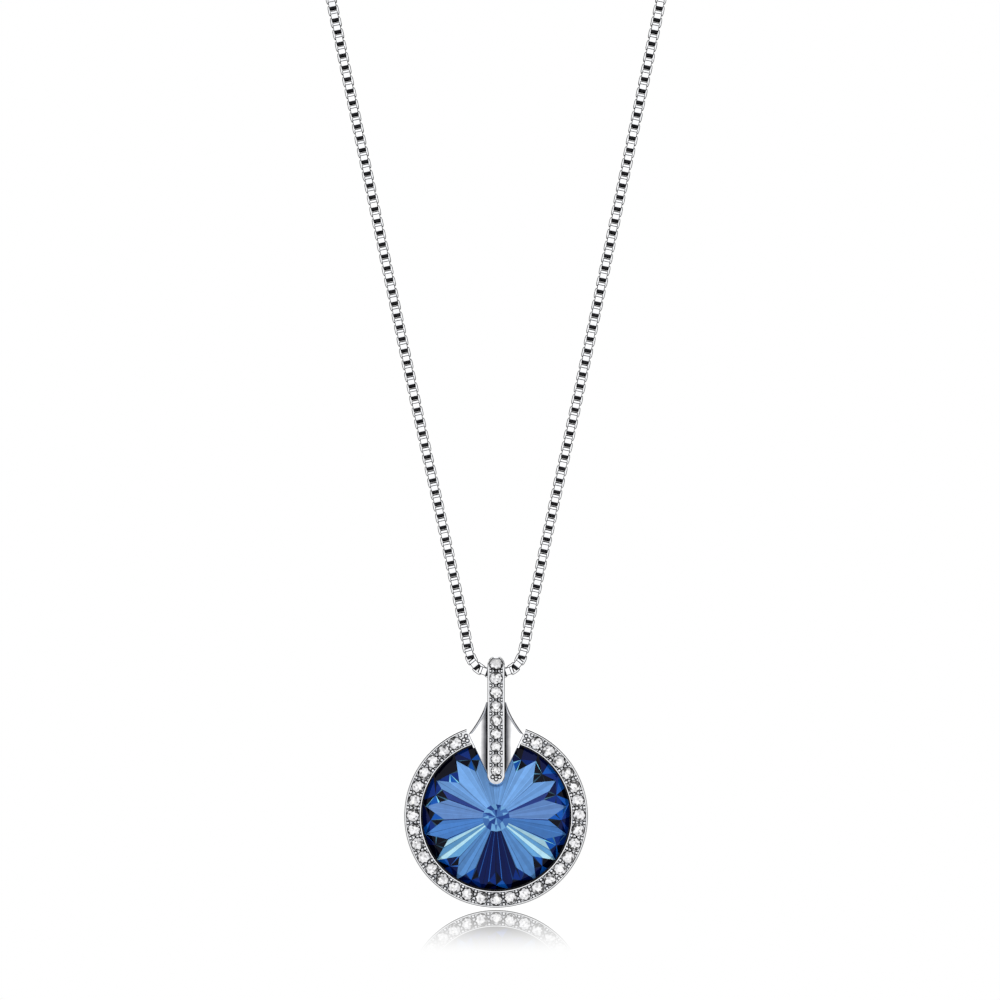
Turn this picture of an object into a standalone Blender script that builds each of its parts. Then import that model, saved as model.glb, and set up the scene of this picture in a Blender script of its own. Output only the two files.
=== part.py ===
"""Pendant necklace: a halo of small stones round a pointed crystal, hung from a box chain.

The pendant hangs in front of a display bar. Both strands of the chain run up in a V, pass over
the bar and meet behind it in a slack bight that a lobster clasp closes.

Metres, +Z up, the front faces -Y. The origin is on the axis of the display bar, midway between
the two strands.
"""

import math

import bmesh
import bpy
from mathutils import Matrix, Vector

MM = 0.001
GAP = 0.04 * MM  # clearance left where two pieces are soldered or set together

# Layout
PENDANT_DROP = 147.15 * MM  # from the bar's axis down to the middle of the crystal
STRAND_PLANE = 3.45 * MM  # how far the strands hang in front of and behind the bar's axis

# Crystal: a pointed front cone and a deeper pointed back cone that meet at the girdle
CRYSTAL_RADIUS = 7.0 * MM
CRYSTAL_FRONT = 3.0 * MM
CRYSTAL_BACK = 3.6 * MM
GIRDLE_FRONT = 0.06 * MM
GIRDLE_BACK = 0.10 * MM
CRYSTAL_SIDES = 32

# Round stones, in shares of their radius: width of the table, then depths from the girdle's plane
TABLE_SHARE = 0.56
CROWN_SHARE = 0.30
GIRDLE_SHARE = 0.03
PAVILION_SHARE = 0.84
STONE_SIDES = 8

# Halo
HALO_RADIUS = 8.45 * MM
HALO_LIP_RADIUS = 6.78 * MM
HALO_FACE = 0.90 * MM  # how far its front stands before the girdle
HALO_BACK = 1.30 * MM
HALO_OUTER_RIM = 0.21 * MM
HALO_INNER_RIM = 0.28 * MM
HALO_EDGE = 0.18 * MM
HALO_LIP_DEPTH = 0.20 * MM
HALO_OPEN_ANGLE = math.radians(19.2)  # each side of the top, where the leaf plate fits in
HALO_STEPS = 72
GROOVE_DEPTH = 0.50 * MM

# Halo stones
HALO_STONE_COUNT = 31
HALO_STONE_PITCH = math.radians(10.06)
HALO_STONE_CIRCLE = 7.65 * MM
HALO_STONE_DIAMETER = 1.12 * MM
STONE_PROUD = 0.02 * MM  # how far a girdle stands above the rims

# Crystal cup: an open collet behind the crystal, on a round foot
CUP_RADIUS = 6.98 * MM
CUP_SHOULDER = 1.00 * MM
CUP_FOOT_RADIUS = 3.90 * MM
CUP_OPENING_RADIUS = 3.10 * MM
CUP_WAIST = 2.45 * MM
CUP_BACK = 3.80 * MM
CUP_CLEARANCE = 0.06 * MM  # between its seat and the crystal's back cone

# Bail: a loop round the chain whose front runs on down as a stone-set blade
BAIL_AXIS_Y = 0.20 * MM
BAIL_AXIS_HEIGHT = 13.19 * MM
LOOP_BORE = 0.58 * MM
LOOP_RADIUS = 1.42 * MM
LOOP_BACK_RADIUS = 1.10 * MM
LOOP_STEPS = 10
BLADE_HALF_WIDTH = 0.80 * MM
BLADE_THICKNESS = 0.70 * MM
BLADE_RIM = 0.19 * MM
BLADE_LENGTH = 10.30 * MM
BLADE_BEND_RADIUS = 39.0 * MM
BLADE_TAPER = 2.4 * MM  # the loop's wall thins to the blade's thickness over this length
BLADE_STEPS = 12
TIP_GROOVE = 0.15 * MM  # depth of the groove where the blade's end rounds off
TIP_STEP_ANGLE = math.radians(18)
TIP_STEPS = 4
LEG_DROP = 2.10 * MM  # from the chain's axis down to where the back leg joins the blade
LEG_THICKNESS = 0.52 * MM
LEG_ELBOW = 0.73 * MM  # height of its inner corner above the place where it joins the blade
LEG_LAP = 0.12 * MM  # how far its lower end runs into the blade
LEG_START = 0.28 * MM  # how far before the chain's axis its upper end starts
LEG_STEPS = 8
BAIL_STONE_COUNT = 9
BAIL_STONE_START = -0.85 * MM  # along the blade, measured from beside the chain's axis
BAIL_PITCH_TOP = 1.365 * MM
BAIL_PITCH_BOTTOM = 1.110 * MM
BAIL_STONE_GAP = 0.20 * MM

# Leaf plate
LEAF_TOP = 10.45 * MM
LEAF_FLARE_TOP = 11.12 * MM
LEAF_CORNER_HEIGHT = 7.50 * MM
LEAF_CORNER_HALF_WIDTH = 2.53 * MM
LEAF_BOTTOM = 4.00 * MM
LEAF_BOTTOM_HALF_WIDTH = 0.84 * MM
LEAF_FLARE_POWER = 1.65
LEAF_THICKNESS = 0.38 * MM
LEAF_TIP_THICKNESS = 0.15 * MM  # thinner over the crystal, whose point rises under it
LEAF_CROWN = 0.10 * MM
FLARE_STEPS = 8
WEDGE_STEPS = 5
LEAF_BLOCK_BOTTOM = 6.30 * MM
LEAF_BLOCK_ANGLE = math.radians(18.7)
LEAF_BLOCK_BACK = 1.20 * MM
LEAF_BLOCK_LAP = 0.15 * MM  # how far the block's front runs into the plate
SEAT_FRONT = 0.42 * MM  # the crystal's room in the block starts this far before its girdle

# Chain: box links, drawn here as the round cord that they fill
CHAIN_WIDTH = 1.0 * MM
CHAIN_ROUNDING = 2
ROUTE_STEPS = 2  # points read from the curve for each span between two route points
HALF_ROUTE_MM = [  # from the bail up the right strand, over the bar and down to the clasp
    (0.00, -3.45, -133.96),
    (0.90, -3.45, -133.93),
    (1.66, -3.45, -133.55),
    (2.24, -3.45, -132.80),
    (2.60, -3.45, -131.70),
    (2.88, -3.45, -130.15),
    (4.68, -3.45, -121.55),
    (7.47, -3.45, -108.85),
    (11.35, -3.45, -90.45),
    (15.18, -3.45, -72.02),
    (19.27, -3.45, -51.55),
    (23.10, -3.45, -31.55),
    (26.45, -3.45, -13.55),
    (28.30, -3.45, -3.55),
    (29.14, -2.44, 2.44),
    (29.29, 0.00, 3.45),
    (29.14, 2.44, 2.44),
    (28.25, 3.45, -3.55),
    (26.50, 3.45, -13.55),
    (24.00, 3.45, -26.45),
    (21.50, 3.45, -36.55),
    (18.50, 3.45, -45.95),
    (15.00, 3.45, -53.85),
    (11.50, 3.45, -59.35),
    (8.50, 3.45, -62.55),
    (6.55, 3.45, -63.90),
]

# Clasp, drawn flat in its own plane: u runs from the tail hole to the hook's end, v is up
CLASP_TAIL_X = 3.475 * MM
CLASP_HEIGHT = -65.58 * MM
CLASP_THICKNESS = 1.24 * MM
CLASP_BEVEL = 0.13 * MM
TAIL_RADIUS = 1.05 * MM
TAIL_HOLE = 0.50 * MM
TAIL_START_ANGLE = math.radians(62)
TAIL_END_ANGLE = math.radians(298)
BELLY = [(2.00 * MM, -1.45 * MM), (3.00 * MM, -1.80 * MM), (4.30 * MM, -1.80 * MM)]
HOOK_CENTRE = 5.90 * MM
HOOK_INNER = 1.55 * MM
HOOK_OUTER = 2.30 * MM
HOOK_TIP_ANGLE = math.radians(-60)
HOOK_ROOT_ANGLE = math.radians(115)
HOOK_MOUTH_ANGLE = math.radians(228)
HOOK_RING_REACH = 6.95 * MM
LEVER_PIVOT = (3.20 * MM, -1.10 * MM)
LEVER_THICKNESS = 0.56 * MM
LEVER_REACH = 3.45 * MM
LEVER_HUB = 0.52 * MM
LEVER_TIP_ANGLES = (math.radians(-14.3), math.radians(-5.5))
LEVER_HUB_ANGLES = (math.radians(60), math.radians(215))
LEVER_TAB_MM = [(-0.20, -0.62), (-0.45, -1.15), (-0.10, -1.32), (0.45, -0.80), (1.70, -0.98)]
LEVER_GATE_MM = [(1.60, -0.28), (1.00, 0.36)]
SLOT_WIDTH = 0.66 * MM
SLOT_LOW = (2.40 * MM, -3.00 * MM)
SLOT_HIGH = (5.40 * MM, -0.08 * MM)
PIN_RADIUS = 0.22 * MM
PIN_HOLE = 0.26 * MM
SPRING_RADIUS = 0.20 * MM
SPRING_WIRE = 0.05 * MM
SPRING_TURNS = 3
SPRING_U = 3.98 * MM
SPRING_BOTTOM = -0.62 * MM
SPRING_TOP = -0.12 * MM
SPRING_SIDES = 12
SPRING_WIRE_SIDES = 6

# Rings at the two ends of the chain
RING_RADIUS = 1.60 * MM
RING_WIRE = 0.25 * MM
RING_TILT = math.radians(25)
RING_STEPS = 24
RING_SIDES = 8

SILVER = (0.80, 0.81, 0.83)


def clear_scene():
    for thing in list(bpy.data.objects):
        bpy.data.objects.remove(thing, do_unlink=True)


def make_material(name, colour, metallic, roughness):
    material = bpy.data.materials.new(name)
    material.use_nodes = True
    shader = material.node_tree.nodes["Principled BSDF"]
    shader.inputs["Base Color"].default_value = (*colour, 1.0)
    shader.inputs["Metallic"].default_value = metallic
    shader.inputs["Roughness"].default_value = roughness
    return material


def mesh_from(name, bm):
    bmesh.ops.recalc_face_normals(bm, faces=bm.faces)
    mesh = bpy.data.meshes.new(name)
    bm.to_mesh(mesh)
    bm.free()
    mesh.shade_smooth()
    mesh.set_sharp_from_angle(angle=math.radians(30))
    return mesh


def place(name, mesh, material, parent, location=(0, 0, 0), rotation=None):
    """Adds an object for a mesh; parent is an empty, and location is measured from it."""
    thing = bpy.data.objects.new(name, mesh)
    bpy.context.collection.objects.link(thing)
    thing.parent = parent
    thing.location = location
    if rotation is not None:
        thing.rotation_mode = "QUATERNION"
        thing.rotation_quaternion = rotation
    if not mesh.materials:
        mesh.materials.append(material)
    return thing


def make_empty(name, location, parent=None):
    empty = bpy.data.objects.new(name, None)
    bpy.context.collection.objects.link(empty)
    empty.parent = parent
    empty.location = location
    return empty


def loft(name, rings, closed=False):
    """A mesh through rings of points, each with as many points; open rows get end caps."""
    bm = bmesh.new()
    rows = [[bm.verts.new(point) for point in ring] for ring in rings]
    spans = len(rows) if closed else len(rows) - 1
    count = len(rows[0])
    for i in range(spans):
        here, there = rows[i], rows[(i + 1) % len(rows)]
        for j in range(count):
            k = (j + 1) % count
            bm.faces.new((here[j], here[k], there[k], there[j]))
    if not closed:
        bm.faces.new(rows[0])
        bm.faces.new(rows[-1])
    return mesh_from(name, bm)


def turned(name, profile, start=0.0, end=math.tau, steps=64):
    """Turns a closed (radius, y) profile about the Y axis; angles run clockwise from +Z."""
    closed = end - start > math.tau - 1e-6
    stops = steps if closed else steps + 1
    rings = []
    for i in range(stops):
        angle = start + (end - start) * i / steps
        rings.append([(r * math.sin(angle), y, r * math.cos(angle)) for r, y in profile])
    return loft(name, rings, closed)


def hull(name, points):
    bm = bmesh.new()
    for point in points:
        bm.verts.new(point)
    bmesh.ops.convex_hull(bm, input=bm.verts)
    return mesh_from(name, bm)


def circle(radius, count, y=0.0, twist=0.0):
    """Points of a circle that faces the front, at the depth y."""
    angles = [math.tau * i / count + twist for i in range(count)]
    return [(radius * math.sin(a), y, radius * math.cos(a)) for a in angles]


def prism(name, outline, thickness):
    """A flat (x, z) outline with a thickness along Y, centred on its plane."""
    return loft(name, [[(x, y, z) for x, z in outline] for y in (-thickness / 2, thickness / 2)])


def arc(centre, radius, start, end, steps):
    angles = [start + (end - start) * i / steps for i in range(steps + 1)]
    return [(centre[0] + radius * math.cos(a), centre[1] + radius * math.sin(a)) for a in angles]


def blade_frame(s):
    """Depth, height and surface angle of the bail's front, s along it from beside the chain."""
    if s < 0:
        angle = -s / LOOP_RADIUS
        depth = BAIL_AXIS_Y - LOOP_RADIUS * math.cos(angle)
        return depth, BAIL_AXIS_HEIGHT + LOOP_RADIUS * math.sin(angle), angle
    angle = s / BLADE_BEND_RADIUS
    depth = BAIL_AXIS_Y - LOOP_RADIUS - BLADE_BEND_RADIUS * (1 - math.cos(angle))
    return depth, BAIL_AXIS_HEIGHT - BLADE_BEND_RADIUS * math.sin(angle), angle


def below_surface(s, depth):
    """The (y, z) of a point under the bail's front, depth along the inward normal."""
    y, z, angle = blade_frame(s)
    return y + depth * math.cos(angle), z - depth * math.sin(angle)


def blade_back_at(height):
    """How far back the blade's rear face lies at a height above the crystal's middle."""
    angle = math.asin(max(0.0, BAIL_AXIS_HEIGHT - height) / BLADE_BEND_RADIUS)
    front = BAIL_AXIS_Y - LOOP_RADIUS - BLADE_BEND_RADIUS * (1 - math.cos(angle))
    return front + BLADE_THICKNESS / math.cos(angle)


def stone_mesh(name, diameter):
    """A round brilliant with its girdle in the plane y = 0 and its table to the front."""
    radius = diameter / 2
    half_side = math.pi / STONE_SIDES
    table = circle(TABLE_SHARE * radius, STONE_SIDES, -CROWN_SHARE * radius)
    girdle_front = circle(radius, STONE_SIDES, -GIRDLE_SHARE * radius, half_side)
    girdle_back = circle(radius, STONE_SIDES, GIRDLE_SHARE * radius, half_side)
    culet = [(0, PAVILION_SHARE * radius, 0)]
    return hull(name, table + girdle_front + girdle_back + culet)


def add_crystal(parent, place_at):
    front = circle(CRYSTAL_RADIUS, CRYSTAL_SIDES, -GIRDLE_FRONT)
    back = circle(CRYSTAL_RADIUS, CRYSTAL_SIDES, GIRDLE_BACK)
    points = front + back + [(0, -CRYSTAL_FRONT, 0), (0, CRYSTAL_BACK, 0)]
    blue = make_material("blue_crystal", (0.10, 0.28, 0.75), 0.0, 0.05)
    place("crystal", hull("crystal", points), blue, parent, place_at)


def add_halo(parent, place_at, silver):
    groove_in = HALO_LIP_RADIUS + HALO_INNER_RIM
    groove_out = HALO_RADIUS - HALO_OUTER_RIM
    seat = CRYSTAL_RADIUS + GAP
    profile = [
        (HALO_LIP_RADIUS, -HALO_FACE),
        (groove_in, -HALO_FACE),
        (groove_in, GROOVE_DEPTH - HALO_FACE),
        (groove_out, GROOVE_DEPTH - HALO_FACE),
        (groove_out, -HALO_FACE),
        (HALO_RADIUS, HALO_EDGE - HALO_FACE),
        (HALO_RADIUS, HALO_BACK - HALO_EDGE),
        (HALO_RADIUS - HALO_EDGE, HALO_BACK),
        (seat, HALO_BACK),
        (seat, -HALO_LIP_DEPTH),
        (HALO_LIP_RADIUS, -HALO_LIP_DEPTH),
    ]
    end = math.tau - HALO_OPEN_ANGLE
    mesh = turned("halo_ring", profile, HALO_OPEN_ANGLE, end, HALO_STEPS)
    place("halo_ring", mesh, silver, parent, place_at)


def add_halo_stones(parent, place_at, clear_stone):
    mesh = stone_mesh("halo_stone", HALO_STONE_DIAMETER)
    middle = (HALO_STONE_COUNT - 1) / 2
    for i in range(HALO_STONE_COUNT):
        angle = math.pi + (i - middle) * HALO_STONE_PITCH
        spot = Vector((math.sin(angle), 0, math.cos(angle))) * HALO_STONE_CIRCLE
        spot.y = -HALO_FACE - STONE_PROUD
        turn = Matrix.Rotation(angle, 4, "Y").to_quaternion()
        name = f"halo_stone_{i + 1:02d}"
        place(name, mesh, clear_stone, parent, Vector(place_at) + spot, turn)


def add_crystal_cup(parent, place_at, silver):
    slope = (CRYSTAL_BACK - GIRDLE_BACK) / CRYSTAL_RADIUS

    def seat_at(radius):
        return GIRDLE_BACK + (CRYSTAL_RADIUS - radius) * slope + CUP_CLEARANCE

    lip_in = CUP_RADIUS - GAP
    profile = [
        (lip_in, seat_at(lip_in)),
        (CUP_RADIUS, seat_at(lip_in)),
        (CUP_RADIUS, CUP_SHOULDER),
        (CUP_FOOT_RADIUS, CUP_WAIST),
        (CUP_FOOT_RADIUS, CUP_BACK),
        (CUP_OPENING_RADIUS, CUP_BACK),
        (CUP_OPENING_RADIUS, seat_at(CUP_OPENING_RADIUS)),
    ]
    place("crystal_cup", turned("crystal_cup", profile), silver, parent, place_at)


def channel_ring(point_at, half_width, rim, groove, thickness):
    """One U-shaped section of the bail; point_at turns a depth into (y, z)."""
    inner = half_width - rim
    corners = [
        (-half_width, 0.0),
        (-inner, 0.0),
        (-inner, groove),
        (inner, groove),
        (inner, 0.0),
        (half_width, 0.0),
        (half_width, thickness),
        (-half_width, thickness),
    ]
    return [(x, *point_at(depth)) for x, depth in corners]


def bail_sections():
    """Sections from the top of the loop, down the front, to the blade's rounded end."""
    rings = []
    top = -LOOP_RADIUS * math.pi / 2
    loop_wall = LOOP_RADIUS - LOOP_BORE
    for i in range(LOOP_STEPS):
        s = top * (1 - i / LOOP_STEPS)
        rings.append(section_at(s, BLADE_HALF_WIDTH, GROOVE_DEPTH, loop_wall))
    straight = BLADE_LENGTH - BLADE_HALF_WIDTH
    for i in range(BLADE_STEPS + 1):
        s = straight * i / BLADE_STEPS
        wall = loop_wall + (BLADE_THICKNESS - loop_wall) * min(1.0, s / BLADE_TAPER)
        rings.append(section_at(s, BLADE_HALF_WIDTH, GROOVE_DEPTH, wall))
    for i in range(1, TIP_STEPS + 1):
        angle = TIP_STEP_ANGLE * i
        s = straight + BLADE_HALF_WIDTH * math.sin(angle)
        half_width = BLADE_HALF_WIDTH * math.cos(angle)
        rings.append(section_at(s, half_width, TIP_GROOVE, BLADE_THICKNESS))
    return rings


def section_at(s, half_width, groove, thickness):
    rim = BLADE_RIM * half_width / BLADE_HALF_WIDTH
    return channel_ring(lambda depth: below_surface(s, depth), half_width, rim, groove, thickness)


def leg_mesh():
    """The back of the loop: over the bore, down behind it and round to the blade's rear face."""
    start = BAIL_AXIS_Y - LEG_START  # inside the front half of the loop
    outer = [(start, BAIL_AXIS_HEIGHT + LOOP_RADIUS - GAP)]
    inner = [(start, BAIL_AXIS_HEIGHT + LOOP_BORE + GAP)]
    for i in range(LEG_STEPS + 1):
        angle = math.pi / 2 * i / LEG_STEPS
        y = BAIL_AXIS_Y + LOOP_BACK_RADIUS * math.sin(angle)
        outer.append((y, BAIL_AXIS_HEIGHT + LOOP_RADIUS * math.cos(angle)))
        y = BAIL_AXIS_Y + LOOP_BORE * math.sin(angle)
        inner.append((y, BAIL_AXIS_HEIGHT + LOOP_BORE * math.cos(angle)))
    foot = BAIL_AXIS_HEIGHT - LEG_DROP
    blade = blade_back_at(foot) - LEG_LAP
    outer += [
        (BAIL_AXIS_Y + LOOP_BACK_RADIUS, foot + LEG_THICKNESS),
        (BAIL_AXIS_Y + LOOP_BORE, foot),
        (blade, foot - LEG_THICKNESS),
    ]
    inner += [
        (BAIL_AXIS_Y + LOOP_BORE, foot + LEG_ELBOW),
        (BAIL_AXIS_Y, foot + LEG_THICKNESS),
        (blade, foot + LEG_THICKNESS),
    ]
    outline = outer + list(reversed(inner))
    half = BLADE_HALF_WIDTH
    return loft("bail_back_leg", [[(x, y, z) for y, z in outline] for x in (-half, half)])


def join_shape(target, mesh, parent, location, operation):
    """Adds a hidden guide object and the exact Boolean that uses it."""
    guide = bpy.data.objects.new(mesh.name + "_guide", mesh)
    bpy.context.collection.objects.link(guide)
    guide.parent = parent
    guide.location = location
    guide.hide_render = True
    guide.display_type = "WIRE"
    step = target.modifiers.new(mesh.name, "BOOLEAN")
    step.operation = operation
    step.solver = "EXACT"
    step.object = guide


def add_bail(parent, place_at, silver):
    bail = place("bail", loft("bail", bail_sections()), silver, parent, place_at)
    join_shape(bail, leg_mesh(), parent, place_at, "UNION")


def add_bail_stones(parent, place_at, clear_stone):
    s = BAIL_STONE_START
    for i in range(BAIL_STONE_COUNT):
        share = i / (BAIL_STONE_COUNT - 2)
        pitch = BAIL_PITCH_TOP + (BAIL_PITCH_BOTTOM - BAIL_PITCH_TOP) * share
        y, z = below_surface(s, -STONE_PROUD)
        tilt = blade_frame(s)[2]
        turn = Matrix.Rotation(-tilt, 4, "X").to_quaternion()
        name = f"bail_stone_{i + 1}"
        mesh = stone_mesh(name, pitch - BAIL_STONE_GAP)
        place(name, mesh, clear_stone, parent, Vector(place_at) + Vector((0, y, z)), turn)
        s += pitch


def leaf_half_width(height):
    if height >= LEAF_CORNER_HEIGHT:
        rise = LEAF_FLARE_TOP - LEAF_CORNER_HEIGHT
        share = (LEAF_FLARE_TOP - height) / rise
        spread = LEAF_CORNER_HALF_WIDTH - BLADE_HALF_WIDTH
        return BLADE_HALF_WIDTH + spread * share**LEAF_FLARE_POWER
    share = (height - LEAF_BOTTOM) / (LEAF_CORNER_HEIGHT - LEAF_BOTTOM)
    return LEAF_BOTTOM_HALF_WIDTH + (LEAF_CORNER_HALF_WIDTH - LEAF_BOTTOM_HALF_WIDTH) * share


def flare_heights():
    """Heights from the leaf's top down to its two corners."""
    rise = LEAF_CORNER_HEIGHT - LEAF_TOP
    return [LEAF_TOP + rise * i / FLARE_STEPS for i in range(FLARE_STEPS + 1)]


def wedge_heights():
    """Heights from below the leaf's corners down to its end over the crystal."""
    rise = LEAF_BOTTOM - LEAF_CORNER_HEIGHT
    return [LEAF_CORNER_HEIGHT + rise * i / WEDGE_STEPS for i in range(1, WEDGE_STEPS + 1)]


def leaf_ring(height):
    half = leaf_half_width(height)
    base = blade_back_at(height) + GAP
    wing = half - BLADE_HALF_WIDTH
    rise = min(LEAF_CROWN, wing)
    stops = (0.0, 0.5, 1.0)
    right = [(BLADE_HALF_WIDTH + wing * t, base - rise * t) for t in stops]
    front = [(-x, y) for x, y in reversed(right)] + right
    share = min(1.0, (height - LEAF_BOTTOM) / (LEAF_CORNER_HEIGHT - LEAF_BOTTOM))
    back = base + LEAF_TIP_THICKNESS + (LEAF_THICKNESS - LEAF_TIP_THICKNESS) * share
    edge = [(half, back), (-half, back)]
    return [(x, y, height) for x, y in front + edge]


def leaf_block():
    """The solid back of the leaf, which fills the halo's open top down to the crystal's seat."""
    levels = [(leaf_half_width(height) - GAP, height - GAP) for height in flare_heights()]
    levels.append((LEAF_BLOCK_BOTTOM * math.tan(LEAF_BLOCK_ANGLE), LEAF_BLOCK_BOTTOM))
    rings = []
    for half, height in levels:
        front = blade_back_at(height) + LEAF_BLOCK_LAP
        corners = [(-half, front), (half, front), (half, LEAF_BLOCK_BACK), (-half, LEAF_BLOCK_BACK)]
        rings.append([(x, y, height) for x, y in corners])
    return loft("leaf_block", rings)


def crystal_room():
    """The round space behind the leaf plate that the crystal and its cup stand in."""
    radius = CRYSTAL_RADIUS + GAP
    depths = (-SEAT_FRONT, 2 * LEAF_BLOCK_BACK)
    return loft("crystal_room", [circle(radius, 2 * CRYSTAL_SIDES, y) for y in depths])


def add_leaf(parent, place_at, silver):
    rings = [leaf_ring(height) for height in flare_heights() + wedge_heights()]
    leaf = place("leaf_plate", loft("leaf_plate", rings), silver, parent, place_at)
    join_shape(leaf, leaf_block(), parent, place_at, "UNION")
    join_shape(leaf, crystal_room(), parent, place_at, "DIFFERENCE")


def smooth_route(points, steps):
    """Reads a centripetal curve through the points, steps points for each span."""
    points = [Vector(p) for p in points]
    ends = [2 * points[0] - points[1], *points, 2 * points[-1] - points[-2]]
    line = []
    for a, b, c, d in zip(ends, ends[1:], ends[2:], ends[3:]):
        ta = 0.0
        tb = ta + (b - a).length ** 0.5
        tc = tb + (c - b).length ** 0.5
        td = tc + (d - c).length ** 0.5
        for i in range(steps):
            t = tb + (tc - tb) * i / steps
            ab = a * ((tb - t) / (tb - ta)) + b * ((t - ta) / (tb - ta))
            bc = b * ((tc - t) / (tc - tb)) + c * ((t - tb) / (tc - tb))
            cd = c * ((td - t) / (td - tc)) + d * ((t - tc) / (td - tc))
            abc = ab * ((tc - t) / (tc - ta)) + bc * ((t - ta) / (tc - ta))
            bcd = bc * ((td - t) / (td - tb)) + cd * ((t - tb) / (td - tb))
            line.append(abc * ((tc - t) / (tc - tb)) + bcd * ((t - tb) / (tc - tb)))
    line.append(points[-1])
    return line


def add_chain(silver):
    """One cord from the clasp's ring, through the bail, to the ring that the hook holds."""
    half = [Vector(p) * MM for p in HALF_ROUTE_MM]
    mirrored = [Vector((-p.x, p.y, p.z)) for p in half[1:]]
    line = smooth_route(list(reversed(half)) + mirrored, ROUTE_STEPS)
    curve = bpy.data.curves.new("chain", "CURVE")
    curve.dimensions = "3D"
    curve.bevel_depth = CHAIN_WIDTH / 2
    curve.bevel_resolution = CHAIN_ROUNDING
    curve.use_fill_caps = True
    spline = curve.splines.new("POLY")
    spline.points.add(len(line) - 1)
    for point, spot in zip(spline.points, line):
        point.co = (*spot, 1.0)
    curve.materials.append(silver)
    chain = bpy.data.objects.new("chain", curve)
    bpy.context.collection.objects.link(chain)


def ring_mesh(name):
    """A round wire ring about the Z axis."""
    rings = []
    for i in range(RING_STEPS):
        a = math.tau * i / RING_STEPS
        ring = []
        for j in range(RING_SIDES):
            b = math.tau * j / RING_SIDES
            reach = RING_RADIUS + RING_WIRE * math.cos(b)
            ring.append((reach * math.cos(a), reach * math.sin(a), RING_WIRE * math.sin(b)))
        rings.append(ring)
    return loft(name, rings, closed=True)


def add_end_rings(silver):
    """The ring through the clasp's tail, and the ring that its hook holds."""
    mesh = ring_mesh("end_ring")
    hook_x = CLASP_TAIL_X - HOOK_RING_REACH
    for name, x, side in (("clasp_ring", CLASP_TAIL_X, 1), ("chain_end_ring", hook_x, -1)):
        centre = Vector((x, STRAND_PLANE, CLASP_HEIGHT))
        centre.x += side * RING_RADIUS * math.cos(RING_TILT)
        centre.z += RING_RADIUS * math.sin(RING_TILT)
        turn = Matrix.Rotation(-side * RING_TILT, 4, "Y").to_quaternion()
        place(name, mesh, silver, None, centre, turn)


def clasp_outline():
    """The clasp's flat outline in (u, v), from the hook's tip round to its mouth."""
    hook = (HOOK_CENTRE, 0.0)
    outline = arc(hook, HOOK_OUTER, HOOK_TIP_ANGLE, HOOK_ROOT_ANGLE, 16)
    outline += arc((0.0, 0.0), TAIL_RADIUS, TAIL_START_ANGLE, TAIL_END_ANGLE, 12)
    outline += BELLY
    outline += arc(hook, HOOK_INNER, HOOK_MOUTH_ANGLE, HOOK_TIP_ANGLE, 20)
    return outline


def lever_outline():
    """The lever in (u, v): a hub on the pin, a gate that meets the hook's tip, a thumb tab."""
    u, v = LEVER_PIVOT
    outline = [(u + across * MM, v + up * MM) for across, up in LEVER_TAB_MM]
    outline += arc(LEVER_PIVOT, LEVER_REACH, *LEVER_TIP_ANGLES, 3)
    outline += [(u + across * MM, v + up * MM) for across, up in LEVER_GATE_MM]
    outline += arc(LEVER_PIVOT, LEVER_HUB, *LEVER_HUB_ANGLES, 7)
    return outline


def flip(outline):
    """Turns clasp (u, v) into (x, z) about the tail hole: the hook points along -X."""
    return [(-u, v) for u, v in outline]


def round_bar(name, radius, length, sides=24):
    return loft(name, [circle(radius, sides, y) for y in (-length / 2, length / 2)])


def block(name, low, high):
    """A box in (u, v) with the slot's width along Y."""
    corners = [(low[0], low[1]), (high[0], low[1]), (high[0], high[1]), (low[0], high[1])]
    return prism(name, flip(corners), SLOT_WIDTH)


def add_clasp_body(clasp, silver):
    body = place("clasp_body", prism("clasp_body", flip(clasp_outline()), CLASP_THICKNESS),
                 silver, clasp)
    bevel = body.modifiers.new("rounded_edges", "BEVEL")
    bevel.width = CLASP_BEVEL
    bevel.segments = 2
    bevel.limit_method = "ANGLE"
    bevel.angle_limit = math.radians(50)
    through = 2 * CLASP_THICKNESS
    pivot = (-LEVER_PIVOT[0], 0, LEVER_PIVOT[1])
    slot = block("lever_slot", SLOT_LOW, SLOT_HIGH)
    join_shape(body, slot, clasp, (0, 0, 0), "DIFFERENCE")
    join_shape(body, round_bar("tail_hole", TAIL_HOLE, through), clasp, (0, 0, 0), "DIFFERENCE")
    join_shape(body, round_bar("pin_hole", PIN_HOLE, through), clasp, pivot, "DIFFERENCE")


def add_clasp_lever(clasp, silver):
    """The lever's parent is an empty on its pin, which is the axis that it turns about."""
    pivot = (-LEVER_PIVOT[0], 0, LEVER_PIVOT[1])
    hinge = make_empty("clasp_lever_axis", pivot, clasp)
    mesh = prism("clasp_lever", flip(lever_outline()), LEVER_THICKNESS)
    back = (-pivot[0], 0, -pivot[2])
    lever = place("clasp_lever", mesh, silver, hinge, back)
    hole = round_bar("lever_hole", PIN_HOLE, CLASP_THICKNESS)
    join_shape(lever, hole, hinge, (0, 0, 0), "DIFFERENCE")


def add_clasp_pin(clasp, steel):
    pivot = (-LEVER_PIVOT[0], 0, LEVER_PIVOT[1])
    place("clasp_pin", round_bar("clasp_pin", PIN_RADIUS, CLASP_THICKNESS), steel, clasp, pivot)


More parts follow.
